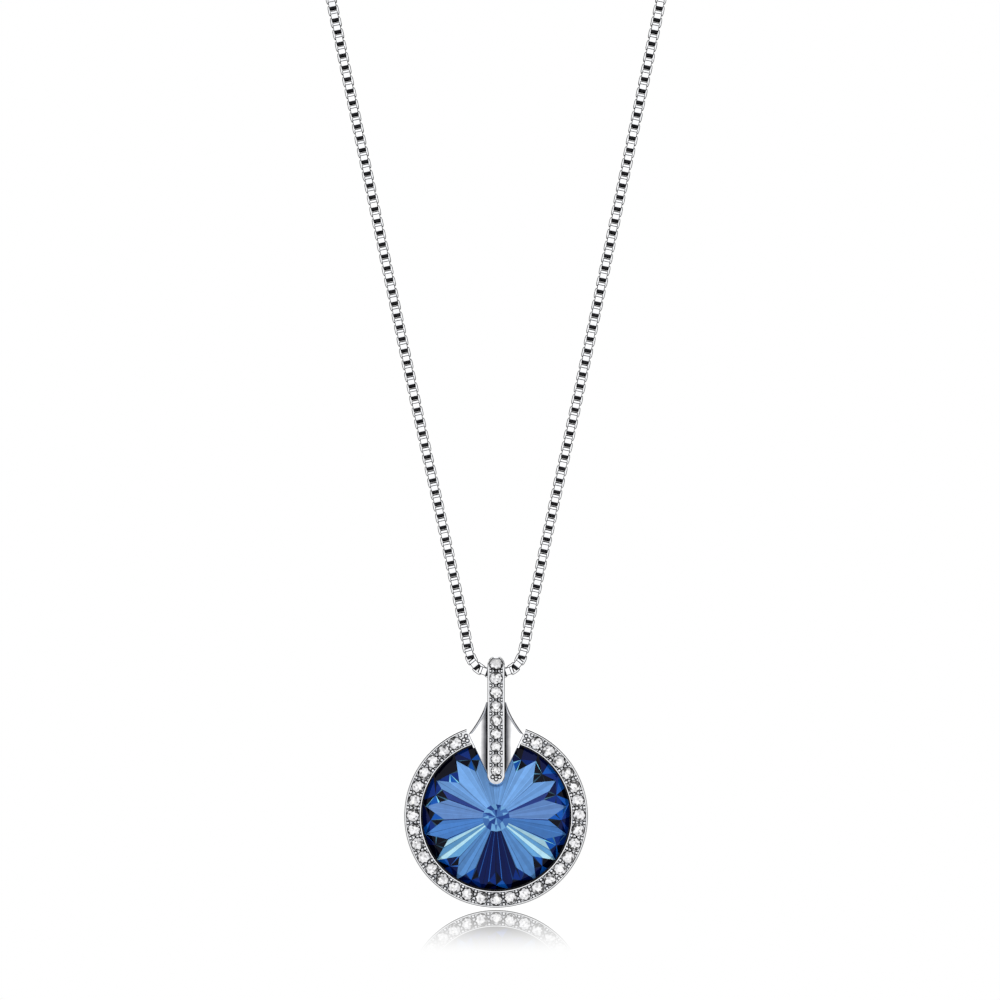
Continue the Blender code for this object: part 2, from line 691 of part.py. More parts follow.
def add_clasp_spring(clasp, steel):
    """A small coil between the roof of the slot and the root of the gate."""
    rings = []
    steps = SPRING_SIDES * SPRING_TURNS
    low, high = SPRING_BOTTOM + SPRING_WIRE, SPRING_TOP - SPRING_WIRE
    for i in range(steps + 1):
        a = math.tau * i / SPRING_SIDES
        z = low + (high - low) * i / steps
        ring = []
        for j in range(SPRING_WIRE_SIDES):
            b = math.tau * j / SPRING_WIRE_SIDES
            reach = SPRING_RADIUS + SPRING_WIRE * math.cos(b)
            spot = (reach * math.cos(a) - SPRING_U, reach * math.sin(a))
            ring.append((*spot, z + SPRING_WIRE * math.sin(b)))
        rings.append(ring)
    place("clasp_spring", loft("clasp_spring", rings), steel, clasp)


def add_clasp(silver, steel):
    clasp = make_empty("clasp_axis", (CLASP_TAIL_X, STRAND_PLANE, CLASP_HEIGHT))
    add_clasp_body(clasp, silver)
    add_clasp_lever(clasp, silver)
    add_clasp_pin(clasp, steel)
    add_clasp_spring(clasp, steel)


def add_pendant(silver, clear_stone):
    """Every piece of the pendant hangs on an empty on the chain's axis inside the bail."""
    swing = make_empty("pendant_axis", (0, -STRAND_PLANE, BAIL_AXIS_HEIGHT - PENDANT_DROP))
    middle = (0, -BAIL_AXIS_Y, -BAIL_AXIS_HEIGHT)  # the middle of the girdle, from that axis
    add_crystal(swing, middle)
    add_halo(swing, middle, silver)
    add_halo_stones(swing, middle, clear_stone)
    add_crystal_cup(swing, middle, silver)
    add_bail(swing, middle, silver)
    add_bail_stones(swing, middle, clear_stone)
    add_leaf(swing, middle, silver)


def main():
    clear_scene()
    silver = make_material("polished_silver", SILVER, 1.0, 0.12)
    steel = make_material("spring_steel", (0.62, 0.63, 0.65), 1.0, 0.25)
    clear_stone = make_material("clear_stone", (0.95, 0.96, 0.98), 0.0, 0.03)
    add_chain(silver)
    add_pendant(silver, clear_stone)
    add_end_rings(silver)
    add_clasp(silver, steel)


main()
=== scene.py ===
"""Looks of the pendant necklace: a pointed blue crystal in a stone-set halo on a box chain.

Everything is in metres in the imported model's frame: +Z up, the front faces -Y. Pendant pieces are
made in the pendant's own frame, whose origin is the middle of the crystal's girdle.
"""

import math
import random

import bmesh
import bpy
from mathutils import Matrix, Vector


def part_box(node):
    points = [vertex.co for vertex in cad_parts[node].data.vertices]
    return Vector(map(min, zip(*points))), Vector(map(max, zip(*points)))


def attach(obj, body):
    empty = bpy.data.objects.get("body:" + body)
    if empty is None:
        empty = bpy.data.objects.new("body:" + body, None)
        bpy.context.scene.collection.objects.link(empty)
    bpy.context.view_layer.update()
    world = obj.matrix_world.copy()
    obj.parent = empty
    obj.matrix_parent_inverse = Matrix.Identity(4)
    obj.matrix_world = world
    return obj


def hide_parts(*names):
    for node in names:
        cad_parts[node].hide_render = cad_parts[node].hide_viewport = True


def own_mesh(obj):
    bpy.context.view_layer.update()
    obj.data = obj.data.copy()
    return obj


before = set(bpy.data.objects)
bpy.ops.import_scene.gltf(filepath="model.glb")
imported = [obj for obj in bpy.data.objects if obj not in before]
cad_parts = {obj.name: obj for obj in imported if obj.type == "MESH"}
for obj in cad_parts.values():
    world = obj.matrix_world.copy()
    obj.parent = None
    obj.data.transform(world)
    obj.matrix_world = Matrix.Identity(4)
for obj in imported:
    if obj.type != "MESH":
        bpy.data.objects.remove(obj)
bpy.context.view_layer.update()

MM = 0.001

# Camera
LENS = 200.0
SENSOR = 36.0
VIEW_WIDTH = 92.1 * MM
AIM_X = 0.36 * MM
AIM_ABOVE_CRYSTAL = 29.05 * MM

# Stage
FLOOR_GAP = 0.10 * MM  # between the halo's lowest point and the floor
FLOOR_HALF_SIZE = 1.2
MIRROR_END = 52.0 * MM  # the floor mirrors best under the pendant, and fades over this much in front,
MIRROR_SIDE = 8.0 * MM  # this much to each side
MIRROR_BACK = 3.0 * MM  # and, from this far behind its middle, over as much again
MIRROR_STRENGTH = 0.75

# World brightness: a white tent in front, dark at the sides, dimmer behind; a white patch dead
# behind is what the floor mirrors. Places are shares of the way from front to back and down to up.
FRONT_TO_BACK = [
    (0.0, 1.0), (0.30, 1.0), (0.36, 0.03), (0.47, 0.03), (0.50, 0.34), (0.60, 0.42),
    (0.80, 0.66), (0.92, 0.34), (0.96, 0.34), (0.98, 1.0), (1.0, 1.0),
]
DOWN_TO_UP = [(0.0, 0.8), (0.35, 0.8), (0.5, 1.0), (0.80, 1.0), (0.92, 0.35), (1.0, 0.35)]
TENT_STRENGTH = 1.25
WHITE = (1.0, 1.0, 1.0)

# Grain of polished metal
GRAIN = (6.0, 5.0, (1.0, 1.0, 0.15))  # features per millimetre, detail, stretch
GRAIN_HEIGHT = 0.0004 * MM
GRAIN_STRENGTH = 0.6

# Pendant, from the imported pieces
CRYSTAL_LOW, CRYSTAL_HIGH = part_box("crystal")
CRYSTAL_RADIUS = (CRYSTAL_HIGH.x - CRYSTAL_LOW.x) / 2
CRYSTAL_FRONT = 3.0 * MM
CRYSTAL_BACK = 3.6 * MM
PENDANT = (CRYSTAL_LOW + CRYSTAL_HIGH) / 2
PENDANT.y = CRYSTAL_LOW.y + CRYSTAL_FRONT
CRYSTAL_SEED = 11
GIRDLE_FRONT = 0.06 * MM
GIRDLE_BACK = 0.10 * MM
PETALS = 16
VALLEY_RADIUS = 4.75 * MM
PETAL_TIP_RADIUS = 6.60 * MM
PETAL_TIP_DEPTH = -0.14 * MM
SPARK_RADIUS = 6.00 * MM
ROSETTE_RADIUS = 1.25 * MM
HEART_RADIUS = 0.70 * MM
STAR_DROP = 0.45 * MM  # the star's tips sit this much lower than a centred star's
BACK_VALLEY_RADIUS = 5.5 * MM
PETAL_STRIPES = (-1.0, -0.93, -0.50, -0.44, 0.0, 0.06, 0.55, 0.62, 0.93, 1.0)
THIN_FACET = 0.25 * MM
THIN_STRIPE = 0.10
THIN_GAINS = (0.5, 0.85, 1.15)
WIDE_GAINS = (0.82, 0.94, 1.0, 1.1)
PAINTED_GLINT_GAINS = (0.03, 0.05, 0.12, 0.3, 1.2)
LOW_SPARKS = math.radians(115)  # the painted glints on slivers further than this from the top are dimmer
SPARK_LIFT = 0.3  # where the slivers meet, between the girdle's depth and the valleys'

# Screen colours of the petals, from the top one round to the bottom one on each side. These and the
# colours below are the crystal's blue with painted light and shade, facet by facet; the pale stripes are
# painted highlights and the bright slivers painted glints.
PETAL_COLOURS = [
    (110, 160, 222), (114, 165, 228), (108, 158, 222), (98, 138, 200),
    (72, 124, 196), (100, 162, 216), (88, 140, 204), (0, 26, 78),
]
PAINTED_HIGHLIGHT_STRIPE = (176, 222, 240)
VIOLET_STRIPE = (40, 60, 128)
DEEP_BLUE = (8, 28, 98)
PAINTED_GLINT_BLUE = (120, 200, 250)
MID_BLUE = (44, 96, 180)
BACK_BLUES = (MID_BLUE, (60, 112, 196), (34, 84, 168))
GIRDLE_COLOURS = [(0, 6, 26), (0, 6, 26), (0, 22, 70), (2, 46, 122), (16, 84, 176)]
ROSETTE_COLOURS = [(66, 110, 176), (36, 68, 140), (112, 168, 220), (84, 134, 198), (50, 90, 164)]

# Small brilliants; the cuts are (radius, depth) in shares of the stone's radius
HALO_SEED = 100
BAIL_SEED = 200
CUT_TABLE = (0.52, -0.32)
CUT_KITE = (0.78, -0.19)
CUT_GIRDLE = 0.03
CUT_BELLY = (0.35, 0.60)
CUT_POINT = 0.86

# Beads that hold the stones, and the discs of painted shade round them
BEAD_RADIUS = 0.17 * MM
BEAD_ROOT = 1.6
BEAD_RINGS = 3
BEAD_SIDES = 8
PEG_SIDES = 16
SHADE_DISC_SHARE = 1.28
SHADE_DISC_RISE = 0.03 * MM
SEAT_SHADE_WIDTH = 0.065 * MM  # the line of painted shade round each stone
SEAT_RISE = 0.02 * MM

# Halo
HALO_RADIUS = 8.45 * MM
HALO_LIP_RADIUS = 6.78 * MM
HALO_FACE = 0.90 * MM
HALO_BACK = 1.30 * MM
HALO_OUTER_RIM = 0.21 * MM
HALO_INNER_RIM = 0.28 * MM
HALO_LIP_DEPTH = 0.20 * MM
HALO_OPEN_ANGLE = math.radians(18.9)
HALO_STEPS = 192
SEAT_RADIUS = 7.04 * MM
HALO_STONE_COUNT = 31
HALO_STONE_PITCH = math.radians(10.06)
HALO_STONE_CIRCLE = 7.65 * MM
HALO_STONE_DIAMETER = 1.12 * MM
STONE_PROUD = 0.02 * MM
HALO_SOFT = 0.05 * MM
HALO_BEAD_INSET = 0.10 * MM
# The halo's drill marks are dark dots of painted shade.
HALO_DRILL = (0.09 * MM, 0.035 * MM)  # radius, rise
FLOOR_DEPTH = 0.07 * MM  # the bright floor that the stones sit in, under the rims
LIP_SHADOW = 0.16 * MM  # the dark bevel between the halo and the crystal
HALO_END_BEADS = [(7.40 * MM, 0.035), (7.85 * MM, 0.030), (7.62 * MM, 0.072)]  # radius, angle in

# Bail
BAIL_AXIS_Y = 0.20 * MM
BAIL_AXIS_HEIGHT = 13.19 * MM
LOOP_BORE = 0.72 * MM
LOOP_RADIUS = 1.42 * MM
LOOP_BACK_RADIUS = 1.10 * MM
BLADE_HALF_WIDTH = 0.80 * MM
BLADE_THICKNESS = 0.70 * MM
BLADE_RIM = 0.17 * MM
BLADE_LENGTH = 10.30 * MM
BLADE_BEND_RADIUS = 39.0 * MM
BLADE_TAPER = 2.4 * MM
LEG_DROP = 2.10 * MM
LEG_THICKNESS = 0.52 * MM
LEG_ELBOW = 0.73 * MM
LEG_LAP = 0.12 * MM
LEG_START = 0.28 * MM
LOOP_SHOULDER = 0.62 * MM  # above the bore's axis, where the band starts to narrow
LOOP_CREST = 0.38  # the band's least share of its width, over the top
CREST_STEPS = 20
BLADE_STEPS = 48
TIP_STEPS = 8
TIP_TURN = math.radians(9.5)
BLADE_SOFT = 0.09 * MM
BLADE_RIM_SLOPE = 0.02 * MM
LEG_SOFT = 0.07 * MM
LEG_BENDS = 12
# Sizes of the discs of painted shade round the bail's beads, at its tip and along its blade
TIP_SHADE_DISC_SHARE = 1.25
BLADE_SHADE_DISC_SHARE = 1.15
BLADE_BEAD_SHARE = 0.9
BLADE_BEAD_INSET = 0.12 * MM
# The bail's drill marks are dark dots of painted shade.
BLADE_DRILL = (0.085 * MM, 0.045 * MM)  # radius, rise
TIP_PRONGS = [(-0.32 * MM, 0.03 * MM), (0.32 * MM, 0.03 * MM), (0.0, 0.24 * MM)]  # (across, along)
BAIL_STONE_COUNT = 9
BAIL_STONE_START = -0.85 * MM
BAIL_PITCH_TOP = 1.365 * MM
BAIL_PITCH_BOTTOM = 1.110 * MM
BAIL_STONE_GAP = 0.20 * MM

# Leaf plate
LEAF_TOP = 10.45 * MM
LEAF_FLARE_TOP = 11.12 * MM
LEAF_CORNER_HEIGHT = 7.50 * MM
LEAF_CORNER_HALF_WIDTH = 2.53 * MM
LEAF_BOTTOM = 4.00 * MM
LEAF_BOTTOM_HALF_WIDTH = 0.84 * MM
LEAF_FLARE_POWER = 1.65
LEAF_BLOCK_BACK = 1.20 * MM
LEAF_BLOCK_END = 6.30 * MM
LEAF_BLOCK_LAP = 0.20 * MM
LEAF_BLOCK_ANGLE = math.radians(18.5)
SEAT_FRONT = -0.44 * MM  # the back of the leaf's block where the crystal's seat passes behind it
GAP = 0.04 * MM
# The cove beside the bail's band, and the width, fall-off and wander of the painted shade that darkens
# the leaf's silver into it
COVE_SHADE_WIDTH = 0.66 * MM
COVE_HEIGHT = 0.22 * MM
COVE_FADE = 0.20 * MM
COVE_LEVEL = -0.16 * MM
COVE_SHADE_POWER = 1.9
COVE_SHADE_WANDER = 0.04 * MM
LEAF_RIM = 0.28 * MM
LEAF_SIDE_RIM = 0.07 * MM
LEAF_RIM_RISE = 0.07 * MM
LEAF_MARKS = 8
LEAF_EDGE = 0.15 * MM  # the plate's thickness at its foot, and what it gains by its corners
LEAF_EDGE_GAIN = 0.23 * MM

# Chain
CHAIN_WIDTH = 1.0 * MM
LINK_PITCH = 0.555 * MM
STRIP_WIDTH = 0.70 * MM
STRIP_THICKNESS = 0.16 * MM
STRIP_EDGE = 0.06 * MM
# A quarter of a link's outline in chain widths: plate edge, end of a line of painted shade, bright bend,
# its end, link end.
LINK_QUARTER = [(0.205, 0.500), (0.275, 0.488), (0.440, 0.440), (0.452, 0.360), (0.545, 0.0)]
BRIGHT_BEND = (0.275, 0.440)
PLATE_EDGE = 0.205
LINK_STEPS = 10
# Half of the chain's route in millimetres: (x, z) from the bail up the right strand, over the bar, and
# (x, z) down behind it to the clasp
BAR_REACH = 3.45
FRONT_STRAND = [
    (0.00, -133.96), (0.90, -133.93), (1.66, -133.55), (2.24, -132.80), (2.60, -131.70),
    (2.88, -130.15), (4.68, -121.55), (7.47, -108.85), (11.35, -90.45), (15.18, -72.02),
    (19.27, -51.55), (23.10, -31.55), (26.45, -13.55), (28.30, -3.55),
]
OVER_BAR = [(29.14, -2.44, 2.44), (29.29, 0.00, 3.45), (29.14, 2.44, 2.44)]
BACK_STRAND = [
    (28.25, -3.55), (26.50, -13.55), (24.00, -26.45), (21.50, -36.55), (18.50, -45.95),
    (15.00, -53.85), (11.50, -59.35), (8.50, -62.55), (6.55, -63.90),
]
HALF_ROUTE_MM = [
    *((x, -BAR_REACH, z) for x, z in FRONT_STRAND),
    *OVER_BAR,
    *((x, BAR_REACH, z) for x, z in BACK_STRAND),
]
SOFT_EDGES = {"clasp_body": 0.14 * MM, "clasp_lever": 0.08 * MM, "crystal_cup": 0.07 * MM}
SPRING_WIRE = 0.05 * MM
SPRING_TURNS = 3
SPRING_STEPS = 24
SPRING_SIDES = 10


# ---- nodes and materials


class Nodes:
    """Builds a node tree with short calls."""

    def __init__(self, tree):
        self.tree = tree

    def node(self, kind, **values):
        made = self.tree.nodes.new(kind)
        for key, value in values.items():
            setattr(made, key, value)
        return made

    def link(self, source, target):
        self.tree.links.new(source, target)

    def feed(self, value, socket):
        """Sets a socket to a number or a colour, or links it to another node's output."""
        if isinstance(value, float):
            socket.default_value = value
        elif isinstance(value, tuple):
            socket.default_value = (*value, 1.0)
        else:
            self.link(value, socket)

    def split(self, vector):
        parts = self.node("ShaderNodeSeparateXYZ")
        self.link(vector, parts.inputs[0])
        return parts.outputs

    def maths(self, operation, *values):
        made = self.node("ShaderNodeMath", operation=operation)
        for value, socket in zip(values, made.inputs):
            self.feed(value, socket)
        return made.outputs[0]

    def spread(self, source, low, high, start=0.35, end=0.65, **values):
        """Maps start to end of the source onto low to high."""
        ranger = self.node("ShaderNodeMapRange", **values)
        self.link(source, ranger.inputs["Value"])
        limits = {"From Min": start, "From Max": end, "To Min": low, "To Max": high}
        for key, value in limits.items():
            ranger.inputs[key].default_value = value
        return ranger.outputs["Result"]

    def blend(self, factor, first, second, **values):
        mix = self.node("ShaderNodeMix", data_type="RGBA", **values)
        self.feed(factor, mix.inputs[0])
        self.feed(first, mix.inputs[6])
        self.feed(second, mix.inputs[7])
        return mix.outputs[2]

    def mix_shaders(self, factor, first, second):
        mix = self.node("ShaderNodeMixShader")
        for source, socket in zip((factor, first, second), mix.inputs):
            self.link(source, socket)
        return mix.outputs[0]


class Shader(Nodes):
    """One material's node tree, round its Principled shader."""

    def __init__(self, name):
        self.material = bpy.data.materials.new(name)
        self.material.use_nodes = True
        super().__init__(self.material.node_tree)
        self.main = self.tree.nodes["Principled BSDF"]
        self.place = self.node("ShaderNodeTexCoord").outputs["Object"]

    def noise(self, scale, detail, stretch=(1.0, 1.0, 1.0)):
        """Noise with a scale in features per millimetre."""
        mapping = self.node("ShaderNodeMapping")
        mapping.inputs["Scale"].default_value = stretch
        self.link(self.place, mapping.inputs["Vector"])
        noise = self.node("ShaderNodeTexNoise")
        noise.inputs["Scale"].default_value = scale / MM
        noise.inputs["Detail"].default_value = detail
        self.link(mapping.outputs["Vector"], noise.inputs["Vector"])
        return noise.outputs["Fac"]

    def bump(self, height, distance, strength):
        bump = self.node("ShaderNodeBump")
        bump.inputs["Strength"].default_value = strength
        bump.inputs["Distance"].default_value = distance
        self.link(height, bump.inputs["Height"])
        self.link(bump.outputs["Normal"], self.main.inputs["Normal"])

    def set(self, **values):
        for key, value in values.items():
            self.feed(value, self.main.inputs[key.replace("_", " ")])

    def polish(self, low, high):
        """The fine grain of polished metal, in the roughness and in the surface."""
        grain = self.noise(*GRAIN)
        self.set(Roughness=self.spread(grain, low, high))
        self.bump(grain, GRAIN_HEIGHT, GRAIN_STRENGTH)


def polished_silver(name, light=(0.88, 0.885, 0.90), dull=(0.78, 0.79, 0.81), roughness=0.06):
    """Rhodium-plated silver: clean, with cloudy tone, hairline scratches and soft wear."""
    silver = Shader(name)
    clouds = silver.spread(silver.noise(0.5, 4.0), 0.0, 1.0)
    silver.set(Metallic=1.0, Base_Color=silver.blend(clouds, dull, light))
    silver.polish(roughness, roughness * 2.2)
    return silver.material


def painted_shade_silver(name):
    """Painted shade: a near-black, matte silver for the inside of links and grooves, the edges and lower
    ends of links, and the discs round stones and beads, where shade falls.
    """
    silver = Shader(name)
    patches = silver.noise(4.0, 4.0)
    colour = silver.blend(silver.spread(patches, 0.0, 1.0), (0.004, 0.004, 0.005), (0.022, 0.022, 0.025))
    silver.set(Metallic=0.0, Specular_IOR_Level=0.08, Base_Color=colour)
    silver.set(Roughness=silver.spread(patches, 0.45, 0.7))
    silver.bump(patches, 0.002 * MM, 0.5)
    return silver.material


def spring_steel(name):
    steel = Shader(name)
    drawn = steel.noise(12.0, 3.0, (1.0, 1.0, 0.2))
    colour = steel.blend(steel.spread(drawn, 0.0, 1.0), (0.42, 0.43, 0.45), (0.58, 0.59, 0.61))
    steel.set(Metallic=1.0, Base_Color=colour, Roughness=steel.spread(drawn, 0.2, 0.4))
    steel.bump(drawn, 0.001 * MM, 0.5)
    return steel.material


def cut_stone(name, shine, streaks, depth):
    """Stands in for a foil-backed stone: each facet has one tone, its colour with painted light and
    shade, with streaks inside it and a glassy skin.
    """
    stone = Shader(name)
    stone.set(Metallic=shine, Specular_IOR_Level=0.12, Coat_Weight=0.06, Coat_Roughness=0.02)
    facet_colour_and_painted_light = stone.node("ShaderNodeAttribute", attribute_name="facet_colour_and_painted_light")
    streak = stone.noise(streaks, 4.0)
    tinted = stone.node("ShaderNodeVectorMath", operation="SCALE")
    stone.link(facet_colour_and_painted_light.outputs["Color"], tinted.inputs[0])
    stone.link(stone.spread(streak, 1.0 - depth, 1.0 + depth, 0.3, 0.7), tinted.inputs["Scale"])
    stone.set(Base_Color=tinted.outputs[0], Roughness=stone.spread(streak, 0.02, 0.09))
    stone.bump(streak, 0.0006 * MM, 0.4)
    return stone.material


# ---- mesh helpers


def facet_mesh(name, bm):
    """A closed mesh of flat faces that point outwards."""
    bmesh.ops.recalc_face_normals(bm, faces=bm.faces)
    mesh = bpy.data.meshes.new(name)
    bm.to_mesh(mesh)
    bm.free()
    return mesh


def finish_mesh(name, bm, sharp):
    """A closed mesh, smooth but for the edges that turn by more than sharp degrees."""
    mesh = facet_mesh(name, bm)
    mesh.shade_smooth()
    mesh.set_sharp_from_angle(angle=math.radians(sharp))
    return mesh


def show(name, mesh, materials, location=(0, 0, 0)):
    mesh.transform(Matrix.Translation(Vector(location)))
    thing = bpy.data.objects.new(name, mesh)
    bpy.context.scene.collection.objects.link(thing)
    for material in materials:
        mesh.materials.append(material)
    return thing


def join_rows(bm, here, there, slots=None):
    """A band of faces between two rings of vertices; slots gives a material index for each place."""
    count = len(here)
    for j in range(count):
        k = (j + 1) % count
        face = bm.faces.new((here[j], here[k], there[k], there[j]))
        if slots:
            face.material_index = slots[j]


def bridge_rows(bm, rows, slots=None):
    """A skin over rings of vertices, closed at both ends."""
    for here, there in zip(rows, rows[1:]):
        join_rows(bm, here, there, slots)
    bm.faces.new(rows[0])
    bm.faces.new(rows[-1])


def polar(radius, angle, y=0.0):
    """A point of a circle that faces the front; the angle runs clockwise from the top."""
    return Vector((radius * math.sin(angle), y, radius * math.cos(angle)))


def ring_round(bm, centre, axis, radius, height, sides):
    """A ring of vertices round a unit axis, height above centre."""
    side = axis.orthogonal().normalized()
    other = axis.cross(side)
    ring = []
    for j in range(sides):
        a = math.tau * j / sides
        spot = centre + axis * height + (side * math.cos(a) + other * math.sin(a)) * radius
        ring.append(bm.verts.new(spot))
    return ring


def add_dome(bm, centre, axis, radius):
    """A closed bead: a dome above centre along axis, on a short stalk into the metal."""
    rows = [ring_round(bm, centre, axis, radius, -BEAD_ROOT * radius, BEAD_SIDES)]
    for i in range(BEAD_RINGS + 1):
        angle = math.pi / 2 * i / (BEAD_RINGS + 1)
        reach = radius * math.cos(angle)
        rows.append(ring_round(bm, centre, axis, reach, radius * math.sin(angle), BEAD_SIDES))
    top = bm.verts.new(centre + axis * radius)
    for low, high in zip(rows, rows[1:]):
        join_rows(bm, low, high)
    for j in range(BEAD_SIDES):
        bm.faces.new((rows[-1][j], rows[-1][(j + 1) % BEAD_SIDES], top))
    bm.faces.new(rows[0])


def add_peg(bm, centre, axis, radius, rise):
    """A short disc of painted shade that stands rise above centre, sunk into the metal below it."""
    rows = [ring_round(bm, centre, axis, radius, height, PEG_SIDES) for height in (-2 * rise, rise)]
    join_rows(bm, *rows, [1] * PEG_SIDES)
    for row in rows:
        bm.faces.new(row).material_index = 1


# ---- chain


def between(a, b, start, end, t):
    return a * ((end - t) / (end - start)) + b * ((t - start) / (end - start))


def smooth_route(points, steps):
    """Reads a centripetal curve through the points, steps points for each span."""
    points = [Vector(p) for p in points]
    ends = [2 * points[0] - points[1], *points, 2 * points[-1] - points[-2]]
    line = []
    for a, b, c, d in zip(ends, ends[1:], ends[2:], ends[3:]):
        ta = 0.0
        tb = ta + (b - a).length ** 0.5
        tc = tb + (c - b).length ** 0.5
        td = tc + (d - c).length ** 0.5
        for i in range(steps):
            t = tb + (tc - tb) * i / steps
            ab = between(a, b, ta, tb, t)
            bc = between(b, c, tb, tc, t)
            cd = between(c, d, tc, td, t)
            abc = between(ab, bc, ta, tc, t)
            bcd = between(bc, cd, tb, td, t)
            line.append(between(abc, bcd, tb, tc, t))
    line.append(points[-1])
    return line


def chain_line(steps):
    """The chain's centreline: one strand's route, mirrored about the bail."""
    half = [Vector(p) * MM for p in HALF_ROUTE_MM]
    mirrored = [Vector((-p.x, p.y, p.z)) for p in half[1:]]
    return smooth_route(list(reversed(half)) + mirrored, steps)


def even_places(line, pitch):
    """The middle and the direction of each link, laid end to end along the line."""
    lengths = [0.0]
    for a, b in zip(line, line[1:]):
        lengths.append(lengths[-1] + (b - a).length)
    count = round(lengths[-1] / pitch)
    step = lengths[-1] / count
    places = []
    seg = 0
    for i in range(count):
        s = (i + 0.5) * step
        while lengths[seg + 1] < s:
            seg += 1
        share = (s - lengths[seg]) / (lengths[seg + 1] - lengths[seg])
        spot = line[seg].lerp(line[seg + 1], share)
        before = line[max(seg - 1, 0)]
        after = line[min(seg + 2, len(line) - 1)]
        places.append((spot, (after - before).normalized()))
    return places


def carried_normals(places):
    """The front direction of each link, carried from the bail both ways without twist."""
    middle = len(places) // 2
    normals = [None] * len(places)
    for span in (range(middle, len(places)), range(middle, -1, -1)):
        normal = Vector((0, -1, 0))
        for i in span:
            tangent = places[i][1]
            normal = (normal - tangent * normal.dot(tangent)).normalized()
            normals[i] = normal
    return normals


def link_outline():
    """The closed outline of a link seen through its hole, as (along, out)."""
    quarter = [(a * CHAIN_WIDTH, o * CHAIN_WIDTH) for a, o in LINK_QUARTER]
    right = quarter + [(a, -o) for a, o in reversed(quarter[:-1])]
    return right + [(-a, -o) for a, o in right]


def inset_outline(outline, depth):
    """Moves each point of a closed outline inwards by about the strip's thickness."""
    moved = []
    count = len(outline)
    for i in range(count):
        before = Vector(outline[i - 1])
        here = Vector(outline[i])
        after = Vector(outline[(i + 1) % count])
        along = (after - before).normalized()
        inward = Vector((along.y, -along.x))
        if inward.dot(here) > 0:
            inward = -inward
        moved.append(tuple(here + inward * depth))
    return moved


def outer_slot(first, second, up):
    """The slot of a span of a link's outside: painted shade past the plate, but for a bright bend at the
    link's upper end; the lower end is all painted shade, as if lit from above.
    """
    along = (first[0] + second[0]) / 2 * up / CHAIN_WIDTH
    if abs(along) < PLATE_EDGE:
        return 0
    return 0 if BRIGHT_BEND[0] < along < BRIGHT_BEND[1] else 1


def add_link(bm, spot, along, out, rings):
    """A bent strip round its outline: shiny outside, with painted shade on its edges, all of its inside
    and its ends, but for a bright bend at the upper end.
    """
    across = along.cross(out)
    up = 1 if along.z > 0 else -1
    rows = []
    for ring in rings:
        rows.append([bm.verts.new(spot + along * a + out * o + across * w) for a, o, w in ring])
    count = len(rows)
    for i in range(count):
        j = (i + 1) % count
        outside = outer_slot(rings[i][1], rings[j][1], up)
        join_rows(bm, rows[i], rows[j], [1, outside, 1, 0, 1, 0])


def link_rings():
    """The strip's section at each point of the outline, as (along, out, across)."""
    outer = link_outline()
    soft = inset_outline(outer, STRIP_EDGE)
    inner = inset_outline(outer, STRIP_THICKNESS)
    half = STRIP_WIDTH / 2
    flat = half - STRIP_EDGE
    rings = []
    for o, e, i in zip(outer, soft, inner):
        rings.append([(*e, -half), (*o, -flat), (*o, flat), (*e, half), (*i, half), (*i, -half)])
    return rings


def build_chain(silver, dark):
    line = chain_line(LINK_STEPS)
    places = even_places(line, LINK_PITCH)
    normals = carried_normals(places)
    rings = link_rings()
    bm = bmesh.new()
    for i, ((spot, tangent), normal) in enumerate(zip(places, normals)):
        out = normal if i % 2 == 0 else tangent.cross(normal)
        add_link(bm, spot, tangent, out, rings)
    chain = show("box_chain", finish_mesh("box_chain", bm, 24), [silver, dark])
    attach(chain, "chain")
    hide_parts("chain")
    return chain


def build_spring(steel):
    """The clasp's coil, which the root of the lever presses together as the gate opens."""
    low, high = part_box("clasp_spring")
    middle = (low + high) / 2
    reach = (high.x - low.x) / 2 - SPRING_WIRE
    rise = high.z - low.z - 2 * SPRING_WIRE
    turns = SPRING_TURNS * SPRING_STEPS
    bm = bmesh.new()
    rows = []
    for i in range(turns + 1):
        angle = math.tau * i / SPRING_STEPS
        out = Vector((math.cos(angle), math.sin(angle), 0))
        spot = out * reach + Vector((0, 0, rise * (i / turns - 0.5)))
        row = []
        for j in range(SPRING_SIDES):
            around = math.tau * j / SPRING_SIDES
            across = out * math.cos(around) + Vector((0, 0, math.sin(around)))
            row.append(bm.verts.new(spot + across * SPRING_WIRE))
        rows.append(row)
    bridge_rows(bm, rows)
    coil = show("clasp_coil", finish_mesh("clasp_coil", bm, 50), [steel], middle)
    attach(coil, "clasp")
    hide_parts("clasp_spring")
    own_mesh(coil)
    return coil


# ---- crystal and stones


def from_screen(colour, gain=1.0):
    """Turns a 0-255 screen colour into the linear colour that a shader takes."""
    return tuple(min(1.0, (c / 255) ** 2.2 * gain) for c in colour)


def add_facet(bm, corners, colour):
    """A flat face that is one tone all over."""
    facet_colour_and_painted_light = bm.loops.layers.float_color["facet_colour_and_painted_light"]
    for loop in bm.faces.new(corners).loops:
        loop[facet_colour_and_painted_light] = (*colour, 1.0)


def star_point(radius, angle, depth):
    """A point of the front star, which leans down in step with its radius."""
    spot = polar(radius, angle, depth)
    spot.z -= STAR_DROP * radius / PETAL_TIP_RADIUS
    return spot


